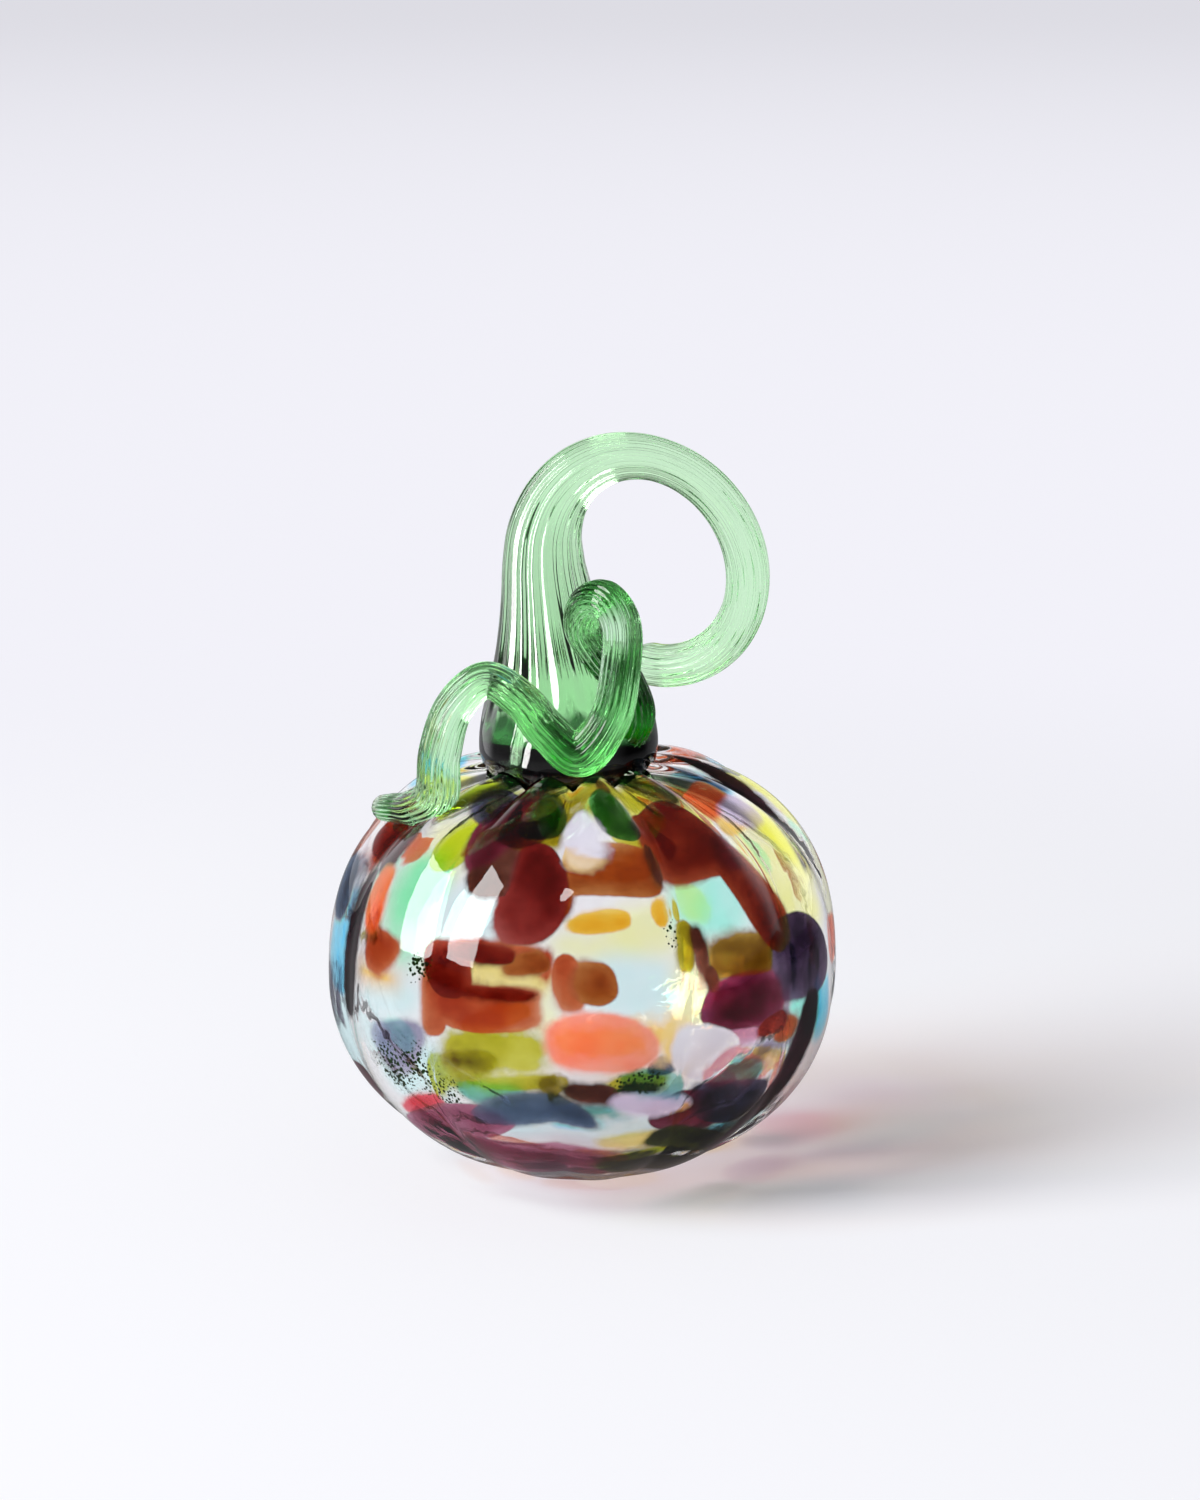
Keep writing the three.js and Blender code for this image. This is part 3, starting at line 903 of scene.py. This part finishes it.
def tendril_mesh(name):
    radii = TENDRIL_GUIDES[:, 3]

    def radius(places, numbers):
        before = np.minimum(numbers.astype(int), len(radii) - 2)
        return mix(radii[before], radii[before + 1], smoothstep(numbers - before, 0.0, 1.0))

    def rib_depth(places, numbers):
        return TENDRIL_RIB_SHARE * radius(places, numbers)

    spine = smooth_curve(TENDRIL_GUIDES[:, :3])
    return ribbed_tube(name, spine, TENDRIL_RINGS, TENDRIL_RIBS, TENDRIL_TWIST, radius, rib_depth)


# Colour of the body


class Canvas:
    """Longitude and length along the outline of each point of the outer surface."""

    def __init__(self):
        points, tangents, along = body_outline(NECK_RADIUS, OUTER_RINGS)
        self.latitudes = np.degrees(np.arctan2(points[:, 1] - WIDEST_HEIGHT, points[:, 0]))
        self.radii = points[:, 0]
        self.lengths = along
        rows = np.concatenate([-BASE_RADIUS * (1 - np.array(FLOOR_RINGS)), along])
        azimuth = np.degrees(body_azimuths()) + 90.0
        self.longitude = np.tile(azimuth, len(rows))
        self.along = np.repeat(rows, len(azimuth))

    def local(self, chip):
        """Millimetres across and up from a chip's middle, turned by its lean and warped a little."""
        middle = np.interp(chip.latitude, self.latitudes, self.lengths)
        radius = np.interp(middle, self.lengths, self.radii)
        turn = (self.longitude - chip.longitude + 180.0) % 360.0 - 180.0
        right = np.radians(turn) * radius
        up = self.along - middle
        bend = CHIP_BEND * min(chip.width, chip.height)
        phase = chip.longitude + 2 * chip.latitude
        right = right + bend * np.sin(up * BEND_WAVES[0] / chip.height + phase)
        up = up + bend * np.sin(right * BEND_WAVES[1] / chip.width + 2 * phase)
        lean = math.radians(chip.lean)
        across = right * math.cos(lean) - up * math.sin(lean)
        along = right * math.sin(lean) + up * math.cos(lean)
        across = across / np.clip(1 + chip.taper * 2 * along / chip.height, *TAPER_LIMITS)
        along = along + chip.arch * np.minimum((2 * across / chip.width) ** 2, ARCH_LIMIT)
        return across, along

    def inside(self, chip):
        """Distance in from the chip's rim in millimetres, below 0 outside it."""
        across, along = self.local(chip)
        aside = np.abs(2 * across / chip.width) + 1e-6
        ahead = np.abs(2 * along / chip.height) + 1e-6
        share = (aside**chip.power + ahead**chip.power) ** (1 / chip.power)
        slope_across = (aside / share) ** (chip.power - 1) * 2 / chip.width
        slope_along = (ahead / share) ** (chip.power - 1) * 2 / chip.height
        return (1 - share) / np.hypot(slope_across, slope_along)


def stack_chips(canvas, chips):
    """Sorts chips into layers, later ones over earlier ones, with room between chips of one layer."""
    covers = [canvas.inside(chip) > -chip.edge for chip in chips]
    reaches = [canvas.inside(chip) > -chip.edge - LAYER_MARGIN for chip in chips]
    layers = []
    numbers = []
    for i, chip in enumerate(chips):
        under = [numbers[j] for j in range(i) if (covers[i] & covers[j]).any()]
        near = {numbers[j] for j in range(i) if (reaches[i] & reaches[j]).any()}
        number = max(under, default=-1) + 1
        while number in near:
            number += 1
        numbers.append(number)
        while len(layers) <= number:
            layers.append([])
        layers[number].append(chip)
    return layers


def glass_colour(colour):
    """Light that one wall of a colour lets through."""
    return np.minimum(linear(COLOURS[colour]) / OTHER_WALL, CLEAREST)


def paint_tints(canvas, chips):
    colour = np.tile(glass_colour("clear") ** 2, (len(canvas.along), 1))
    for chip in chips:
        cover = smoothstep(canvas.inside(chip) / chip.edge, -1.0, 1.0)[:, None]
        colour = mix(colour, glass_colour(chip.colour) ** 2, cover)
    return colour


def paint_layer(canvas, chips):
    """Colour of the nearest chip at each point, with how far inside its rim the point lies."""
    colour = np.ones((len(canvas.along), 3))
    inside = np.full(len(canvas.along), -FAR_INSIDE)
    for chip in chips:
        depth = canvas.inside(chip)
        across, along = canvas.local(chip)
        turn = math.radians(SIDE_TURNS[0] * chip.longitude + SIDE_TURNS[1] * chip.latitude)
        aside = 2 * across / chip.width * math.cos(turn) + 2 * along / chip.height * math.sin(turn)
        aside = np.clip(aside, -1.0, 1.0)
        edge = depth / (chip.edge + SOFT_SIDE * smoothstep(aside, 0.0, 1.0))
        edge = np.clip(edge, -FAR_INSIDE, FAR_INSIDE)
        nearer = edge > inside
        core = smoothstep(depth, 0.0, CORE_SHARE * min(chip.width, chip.height))
        milk = MILK.get(chip.colour, 0.0)
        rim = 1.0 if milk else RIM_THICKNESS
        thickness = mix(rim, CORE_THICKNESS, core) - (0.0 if milk else THINNING) * aside
        clearness = 2.0 - milk
        chip_colour = glass_colour(chip.colour) ** (clearness * thickness[:, None])
        colour = np.where(nearer[:, None], chip_colour, colour)
        inside = np.where(nearer, edge, inside)
    return colour, inside


def paint_milk(canvas, chips):
    milk = np.zeros(len(canvas.along))
    for chip in chips:
        cover = smoothstep(canvas.inside(chip) / max(chip.edge, 1.0), -1.0, 1.0)
        milk = mix(milk, MILK[chip.colour], cover)
    return milk


def paint_specks(canvas):
    specks = np.zeros(len(canvas.along))
    for chip in SPECK_CLUSTERS:
        cover = smoothstep(canvas.inside(chip) / chip.edge, -SPECK_SPREAD, SPECK_SPREAD)
        specks = np.maximum(specks, cover)
    return specks


def store_colour(mesh, name, colour, alpha):
    """Writes colours to the outer surface's points, which follow the middle of the base."""
    values = np.ones((len(mesh.vertices), 4))
    values[:, 3] = -FAR_INSIDE
    values[1 : 1 + len(colour), :3] = colour
    values[1 : 1 + len(colour), 3] = alpha
    values[0] = values[1]
    layer = mesh.attributes.new(name, "FLOAT_COLOR", "POINT")
    layer.data.foreach_set("color", values.ravel())


def store_value(mesh, name, value):
    values = np.zeros(len(mesh.vertices))
    values[1 : 1 + len(value)] = value
    layer = mesh.attributes.new(name, "FLOAT", "POINT")
    layer.data.foreach_set("value", values)


# Materials


def new_material(name):
    material = bpy.data.materials.new(name)
    material.use_nodes = True
    material.node_tree.nodes.clear()
    return material, material.node_tree


def feed(tree, socket, value):
    """Links an input to another node's output, or sets it; a plain colour is opaque."""
    if isinstance(value, bpy.types.NodeSocket):
        tree.links.new(value, socket)
    elif socket.type == "RGBA":
        socket.default_value = (*value, 1.0)
    else:
        socket.default_value = value


def add_node(tree, kind, **inputs):
    node = tree.nodes.new("ShaderNode" + kind)
    for name, value in inputs.items():
        feed(tree, node.inputs[name.replace("_", " ")], value)
    return node


def add_operation(tree, kind, operation, values):
    node = add_node(tree, kind)
    node.operation = operation
    for socket, value in zip(node.inputs, values):
        feed(tree, socket, value)
    return node.outputs


def add_math(tree, operation, *values):
    return add_operation(tree, "Math", operation, values)[0]


def add_vector(tree, operation, *values):
    return add_operation(tree, "VectorMath", operation, values)


def add_range(tree, value, span, low=0.0, high=1.0):
    """Smooth step from low to high over a span of the value."""
    node = add_node(tree, "MapRange")
    node.interpolation_type = "SMOOTHSTEP"
    names = ("Value", "From Min", "From Max", "To Min", "To Max")
    for name, setting in zip(names, (value, *span, low, high)):
        feed(tree, node.inputs[name], setting)
    return node.outputs["Result"]


def add_fade(tree, value, span, low=0.0, high=1.0):
    """Smooth step over a span in millimetres."""
    return add_range(tree, value, (span[0] * MM, span[1] * MM), low, high)


def add_mix(tree, share, first, second, blend="MIX"):
    """Mixed colour; the node has other sockets for numbers and vectors, so these go by their place."""
    node = add_node(tree, "Mix")
    node.data_type = "RGBA"
    node.blend_type = blend
    for number, value in zip((0, 6, 7), (share, first, second)):
        feed(tree, node.inputs[number], value)
    return node.outputs[2]


def add_blend(tree, share, first, second):
    node = add_node(tree, "MixShader")
    for socket, value in zip(node.inputs, (share, first, second)):
        feed(tree, socket, value)
    return node.outputs[0]


def add_output(tree, shader, kind="OutputMaterial"):
    return add_node(tree, kind, Surface=shader)


def add_attribute(tree, name):
    node = add_node(tree, "Attribute")
    node.attribute_name = name
    return node.outputs


def add_place(tree):
    return add_node(tree, "TexCoord").outputs["Object"]


def add_axes(tree, vector):
    return add_node(tree, "SeparateXYZ", Vector=vector).outputs


def add_noise(tree, scale, detail):
    return add_node(tree, "TexNoise", Vector=add_place(tree), Scale=scale, Detail=detail).outputs[0]


def add_seen(tree, path):
    """1 for the camera's rays, mirror images and what glass shows, and 0 for light on a surface."""
    through = add_math(tree, "MAXIMUM", path["Is Glossy Ray"], path["Is Transmission Ray"])
    return add_math(tree, "MAXIMUM", path["Is Camera Ray"], through)


def add_glass(tree, ripple, polish, **inputs):
    """Glass with the slight ripple and uneven polish of hand work."""
    wave = add_noise(tree, ripple[0], 2.0)
    bump = add_node(tree, "Bump", Height=wave, Strength=ripple[1], Distance=MM)
    roughness = add_range(tree, add_noise(tree, polish, 3.0), (0.3, 0.8), 0.0, ROUGHEST)
    return add_node(
        tree, "BsdfPrincipled",
        IOR=GLASS_IOR, Roughness=roughness, Normal=bump.outputs[0], **inputs,
    )


def finish_glass(tree, glass, passing_colour, volume=None):
    """Glass for every ray but soft light on the floor and a lamp's own, which pass tinted."""
    path = add_node(tree, "LightPath").outputs
    shader = glass.outputs[0]
    for ray, strength in (("Is Diffuse Ray", SOFT_PASSING), ("Is Shadow Ray", 1.0)):
        tint = add_node(tree, "Gamma", Color=passing_colour, Gamma=strength)
        passing = add_node(tree, "BsdfTransparent", Color=tint.outputs[0])
        shader = add_blend(tree, path[ray], shader, passing.outputs[0])
    output = add_output(tree, shader)
    if volume is not None:
        feed(tree, output.inputs["Volume"], volume.outputs[0])


def lining_glass():
    """Clear inside of the body."""
    material, tree = new_material("lining_glass")
    glass = add_glass(tree, LINING_RIPPLE, BODY_POLISH, Base_Color=(1.0, 1.0, 1.0), Transmission_Weight=1.0)
    finish_glass(tree, glass, PASSING_BODY)
    return material


def chip_glass(layers):
    """Outside of the body: clear chips that darken each other, milky ones over them, and specks."""
    material, tree = new_material("chip_glass")
    colour = add_attribute(tree, "tint")["Color"]
    ragged = add_math(tree, "SUBTRACT", add_noise(tree, RIM_SCALE, 3.0), 0.5)
    ragged = add_math(tree, "MULTIPLY", ragged, RIM_RAGGEDNESS)
    for name, blend in layers:
        chips = add_attribute(tree, name)
        cover = add_range(tree, add_math(tree, "ADD", chips["Alpha"], ragged), (-1.0, 1.0))
        colour = add_mix(tree, cover, colour, chips["Color"], blend)
    uneven = add_range(tree, add_noise(tree, STRENGTH_SCALE, 3.0), (0.25, 0.75), *STRENGTH_RANGE)
    colour = add_node(tree, "Gamma", Color=colour, Gamma=uneven).outputs[0]
    cells = add_node(tree, "TexVoronoi", Vector=add_place(tree), Scale=SPECK_SCALE)
    patches = add_range(tree, add_noise(tree, SPECK_PATCH_SCALE, 2.0), (0.3, 0.7), *SPECK_REACH)
    reach = add_math(tree, "MULTIPLY", add_attribute(tree, "specks")["Fac"], patches)
    inside = add_math(tree, "SUBTRACT", reach, cells.outputs["Distance"])
    speck = add_range(tree, inside, (-SPECK_EDGE, SPECK_EDGE))
    colour = add_mix(tree, speck, colour, linear(SPECK_COLOUR) ** 2)
    milk = add_attribute(tree, "milk")["Fac"]
    clearness = add_range(tree, milk, (0.0, 1.0), 1.0, MILKY_TRANSMISSION)
    glass = add_glass(tree, CHIP_RIPPLE, BODY_POLISH, Base_Color=colour, Transmission_Weight=clearness)
    axes = add_axes(tree, add_place(tree))
    low = add_fade(tree, axes["Z"], LOW_UP_TO, LOW_FRONT_PASSING, CHIP_PASSING)
    front = add_fade(tree, axes["Y"], FRONT_UP_TO, LOW_FRONT_PASSING, CHIP_PASSING)
    strength = add_math(tree, "MAXIMUM", low, front)
    passing = add_node(tree, "Gamma", Color=colour, Gamma=strength)
    finish_glass(tree, glass, passing.outputs[0])
    return material


def stem_looks(tree):
    """Green with a dark root, partly its thick gather and partly painted shade, with painted caustic light in
    brighter green patches, and a clear skin on the upright trunk that mirrors the window above it.
    """
    axes = add_axes(tree, add_place(tree))
    patchy = add_math(tree, "SUBTRACT", add_noise(tree, ROOT_PATCH_SCALE, 3.0), 0.5)
    uneven = add_math(tree, "MULTIPLY", patchy, ROOT_UNEVENNESS * MM)
    above = add_math(tree, "SUBTRACT", add_math(tree, "ADD", axes["Z"], uneven), CROWN * MM)
    # Painted caustic light: brighter green patches in the root
    painted_caustic = add_range(tree, add_noise(tree, ROOT_CAUSTIC_SCALE, 3.0), ROOT_CAUSTIC_SPREAD)
    root = add_mix(tree, painted_caustic, ROOT_DARK_AND_SHADE_COLOUR, ROOT_CAUSTIC_COLOUR)
    # Near-black root, partly its thick gather and partly painted shade, clearing to green higher up
    colour = add_mix(tree, add_fade(tree, above, ROOT_CLEARING), root, GREEN_TINT)
    facing = add_node(tree, "NewGeometry").outputs["Normal"]
    rise = add_math(tree, "ABSOLUTE", add_axes(tree, facing)["Z"])
    gleam = add_range(tree, rise, GLEAM_UPRIGHT, 1.0, 0.0)
    for axis, span in (("X", TRUNK_SIDE), ("Z", TRUNK_TOP)):
        gleam = add_math(tree, "MULTIPLY", gleam, add_fade(tree, axes[axis], span, 1.0, 0.0))
    leaning = add_vector(tree, "ADD", facing, (0.0, 0.0, GLEAM_LEAN))[0]
    upward = add_vector(tree, "NORMALIZE", leaning)[0]
    skin = {"Coat_Weight": gleam, "Coat_Roughness": 0.0, "Coat_IOR": GLEAM_IOR, "Coat_Normal": upward}
    return {"Base_Color": colour, **skin}


def tendril_looks(tree):
    axes = add_axes(tree, add_place(tree))
    # Painted light: paler green on the tail and on the limb that comes down
    tail = add_fade(tree, axes["X"], TAIL_SIDE, 1.0, 0.0)
    limb = add_fade(tree, axes["X"], LIMB_SIDE)
    colour = add_mix(tree, add_math(tree, "MAXIMUM", tail, limb), GREEN_TINT, PALE_LIGHT_TINT)
    # Painted shade: darker green at the top of the curl
    return {"Base_Color": add_mix(tree, add_fade(tree, axes["Z"], CURL_HEIGHT), colour, CURL_SHADE_TINT)}


def green_glass(name, density, looks):
    material, tree = new_material(name)
    glass = add_glass(tree, GREEN_RIPPLE, GREEN_POLISH, Transmission_Weight=1.0, **looks(tree))
    volume = add_node(tree, "VolumeAbsorption", Color=GREEN_ABSORPTION, Density=density)
    finish_glass(tree, glass, PASSING_GREEN, volume)
    return material


def fused_joint(name, colour):
    """Where two pieces of hot glass melted together there is no surface, only a tint."""
    material, tree = new_material(name)
    clear = add_node(tree, "BsdfTransparent", Color=colour)
    add_output(tree, clear.outputs[0])
    return material


def add_room(tree, direction):
    """Brightness of the room in a direction: pale behind, dim at the sides, in front and above."""
    axes = add_axes(tree, direction)
    behind = add_range(tree, axes["Y"], ROOM_BRIGHTENS)
    below = add_range(tree, axes["Z"], ROOM_WALL_TOP, 1.0, 0.0)
    pale = add_math(tree, "MULTIPLY", behind, below)
    return add_range(tree, pale, (0.0, 1.0), ROOM_IN_FRONT, ROOM_BEHIND)


def floor_paper():
    """White paper under the object that turns into the room's even tone further off."""
    material, tree = new_material("floor_paper")
    tone = add_range(tree, add_noise(tree, PAPER_SCALE, 2.0), (0.2, 0.8), *PAPER_TONE)
    paper = add_node(
        tree, "BsdfPrincipled",
        Base_Color=add_mix(tree, 1.0, FLOOR_COLOUR, tone, "MULTIPLY"),
        Roughness=PAPER_ROUGHNESS, Specular_IOR_Level=PAPER_GLOSS,
    )
    distance = add_vector(tree, "LENGTH", add_place(tree))["Value"]
    away = add_vector(tree, "NORMALIZE", add_place(tree))[0]
    path = add_node(tree, "LightPath").outputs
    through = path["Is Transmission Ray"]
    level = add_math(tree, "MAXIMUM", add_room(tree, away), path["Is Camera Ray"])
    extra = add_math(tree, "ADD", add_math(tree, "MULTIPLY", through, EXTRA_THROUGH_GLASS), 1.0)
    far = add_range(tree, distance, FAR_FLOOR)
    backdrop = add_node(
        tree, "Emission",
        Color=add_mix(tree, far, MIDDLE_FLOOR_COLOUR, FAR_FLOOR_COLOUR),
        Strength=add_math(tree, "MULTIPLY", level, extra),
    )
    beyond = add_range(tree, distance, MIDDLE_FLOOR)
    seen = add_math(tree, "MULTIPLY", add_seen(tree, path), beyond)
    both = add_blend(tree, seen, paper.outputs[0], backdrop.outputs[0])
    mirrored = add_math(tree, "SUBTRACT", path["Is Glossy Ray"], through)
    mirrored = add_math(tree, "MAXIMUM", mirrored, 0.0)
    dimming = add_math(tree, "MULTIPLY", mirrored, 1 - FLOOR_IN_MIRROR_IMAGES)
    dark = add_node(tree, "Emission", Strength=0.0)
    add_output(tree, add_blend(tree, dimming, both, dark.outputs[0]))
    return material


# Pieces


def build_body(joint):
    outer = outer_grid(-BODY_SHRINK, OUTER_RINGS, HAND_WAVE)
    outer[:, :, 2] = np.maximum(outer[:, :, 2], 0.0)
    outer[0, :, 2] = 0.0
    base = np.stack([outer[0] * share for share in FLOOR_RINGS])
    inner = inner_grid()
    grid = np.concatenate([base, outer, inner])
    mesh = skin_mesh("body_glass", (0.0, 0.0, 0.0), grid, (0.0, 0.0, BASE_WALL))
    canvas = Canvas()
    chips = BACK_CHIPS + FRONT_CHIPS
    clear = [chip for chip in chips if chip.colour not in MILK]
    milky = [chip for chip in chips if chip.colour in MILK]
    layers = []
    for kind, blend, part in (("clear", "DARKEN", clear), ("milky", "MIX", milky)):
        for number, layer in enumerate(stack_chips(canvas, part)):
            name = f"{kind}_chips_{number}"
            store_colour(mesh, name, *paint_layer(canvas, layer))
            layers.append((name, blend))
    store_colour(mesh, "tint", paint_tints(canvas, TINTS), 1.0)
    store_value(mesh, "milk", paint_milk(canvas, milky))
    store_value(mesh, "specks", paint_specks(canvas))
    for material in (lining_glass(), chip_glass(layers), joint):
        mesh.materials.append(material)
    lining, outside, fused = range(3)
    first_inside = 1 + len(canvas.along)
    for polygon in mesh.polygons:
        polygon.material_index = lining
        if min(polygon.vertices) < first_inside and under_stem(polygon.center):
            polygon.material_index = fused
        elif max(polygon.vertices) < first_inside:
            polygon.material_index = outside
    mesh.set_sharp_from_angle(angle=math.radians(SHARP_ANGLE))
    return add_object("pumpkin_body", mesh)


def under_stem(centre):
    reach = math.hypot(centre.x / MM - STEM_OFFSET, centre.y / MM)
    return centre.z / MM > CROWN - STEM_BURY and reach < float(stem_radius(0.0)) - JOINT_INSET


def build_green(name, mesh, material, cutters):
    mesh.materials.append(material)
    piece = add_object(name, mesh)
    for cutter in cutters:
        cut(piece, cutter)
    return piece


def build_pumpkin():
    root_joint = fused_joint("root_joint", STEM_JOINT_COLOUR)
    trail_joint = fused_joint("trail_joint", TENDRIL_JOINT_COLOUR)
    body = build_body(root_joint)
    seat = add_object("seat", seat_mesh("seat"))
    root = add_object("root_of_stem", stem_mesh("root_of_stem", FUSE_GAP))
    seat.data.materials.append(root_joint)
    root.data.materials.append(trail_joint)
    stem_green = green_glass("stem_green", STEM_DENSITY, stem_looks)
    stem = build_green("pumpkin_stem", stem_mesh("stem_glass", 0.0), stem_green, [seat])
    seat.data.materials[0] = trail_joint
    tendril_green = green_glass("tendril_green", TENDRIL_DENSITY, tendril_looks)
    tendril = build_green("pumpkin_tendril", tendril_mesh("tendril_glass"), tendril_green, [seat, root])
    for cutter in (seat, root):
        bpy.data.objects.remove(cutter)
    for piece, node, slot in (
        (body, "body", "mottled_glass"),
        (stem, "stem", "green_glass"),
        (tendril, "tendril", "tendril_glass"),
    ):
        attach(piece, "root")
        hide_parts(node)


# Stage, light and camera


def build_floor():
    mesh = bpy.data.meshes.new("floor")
    half = FLOOR_SIZE / 2
    corners = [(-half, -half, 0.0), (half, -half, 0.0), (half, half, 0.0), (-half, half, 0.0)]
    mesh.from_pydata(corners, [], [(0, 1, 2, 3)])
    mesh.materials.append(floor_paper())
    floor = add_object("floor", mesh)


def build_window():
    lamp = bpy.data.lights.new("window", "AREA")
    lamp.shape = "RECTANGLE"
    lamp.size, lamp.size_y = WINDOW_SIZE
    lamp.energy = WINDOW_POWER
    lamp.color = WINDOW_COLOUR
    window = bpy.data.objects.new("window", lamp)
    elevation = math.radians(WINDOW_ELEVATION)
    bearing = Vector((*WINDOW_BEARING, 0.0)).normalized() * math.cos(elevation)
    towards = bearing + Vector((0.0, 0.0, math.sin(elevation)))
    window.location = CAMERA_TARGET + towards * WINDOW_DISTANCE
    window.rotation_euler = towards.to_track_quat("Z", "Y").to_euler()
    window.visible_camera = False
    bpy.context.scene.collection.objects.link(window)


def build_room():
    """Room as the glass shows it, and an even light for everything else."""
    world = bpy.data.worlds.new("room")
    bpy.context.scene.world = world
    world.use_nodes = True
    tree = world.node_tree
    tree.nodes.clear()
    direction = add_node(tree, "TexCoord").outputs["Generated"]
    path = add_node(tree, "LightPath").outputs
    even = add_math(tree, "MULTIPLY", path["Is Camera Ray"], ROOM_TO_THE_CAMERA)
    level = add_math(tree, "MAXIMUM", add_room(tree, direction), even)
    room = add_node(tree, "Background", Color=ROOM_COLOUR, Strength=level)
    ambient = add_node(tree, "Background", Color=AMBIENT_COLOUR, Strength=ROOM_AMBIENT)
    both = add_blend(tree, add_seen(tree, path), ambient.outputs[0], room.outputs[0])
    add_output(tree, both, "OutputWorld")


def build_camera():
    data = bpy.data.cameras.new("camera")
    data.sensor_fit = "VERTICAL"
    data.sensor_height = SENSOR
    focal_pixels = PIXELS_PER_MM * CAMERA_DISTANCE / MM
    data.lens = focal_pixels * SENSOR / PHOTO_HEIGHT
    data.shift_x = (PHOTO_WIDTH / 2 - TARGET_PIXEL[0]) / PHOTO_HEIGHT
    data.shift_y = (TARGET_PIXEL[1] - PHOTO_HEIGHT / 2) / PHOTO_HEIGHT
    camera = bpy.data.objects.new("camera", data)
    elevation = math.radians(CAMERA_ELEVATION)
    back = Vector((0.0, -math.cos(elevation), math.sin(elevation)))
    camera.location = CAMERA_TARGET + back * CAMERA_DISTANCE
    camera.rotation_euler = back.to_track_quat("Z", "Y").to_euler()
    bpy.context.scene.collection.objects.link(camera)
    bpy.context.scene.camera = camera


def set_light_paths():
    scene = bpy.context.scene
    scene.view_settings.view_transform = "Standard"
    scene.cycles.max_bounces = MOST_BOUNCES
    scene.cycles.transmission_bounces = MOST_BOUNCES
    scene.cycles.glossy_bounces = GLOSSY_BOUNCES
    scene.cycles.transparent_max_bounces = CLEAR_BOUNCES
    scene.cycles.blur_glossy = 0.0
    scene.cycles.caustics_reflective = False
    scene.cycles.caustics_refractive = False


build_camera()
build_floor()
build_window()
build_room()
set_light_paths()
build_pumpkin()
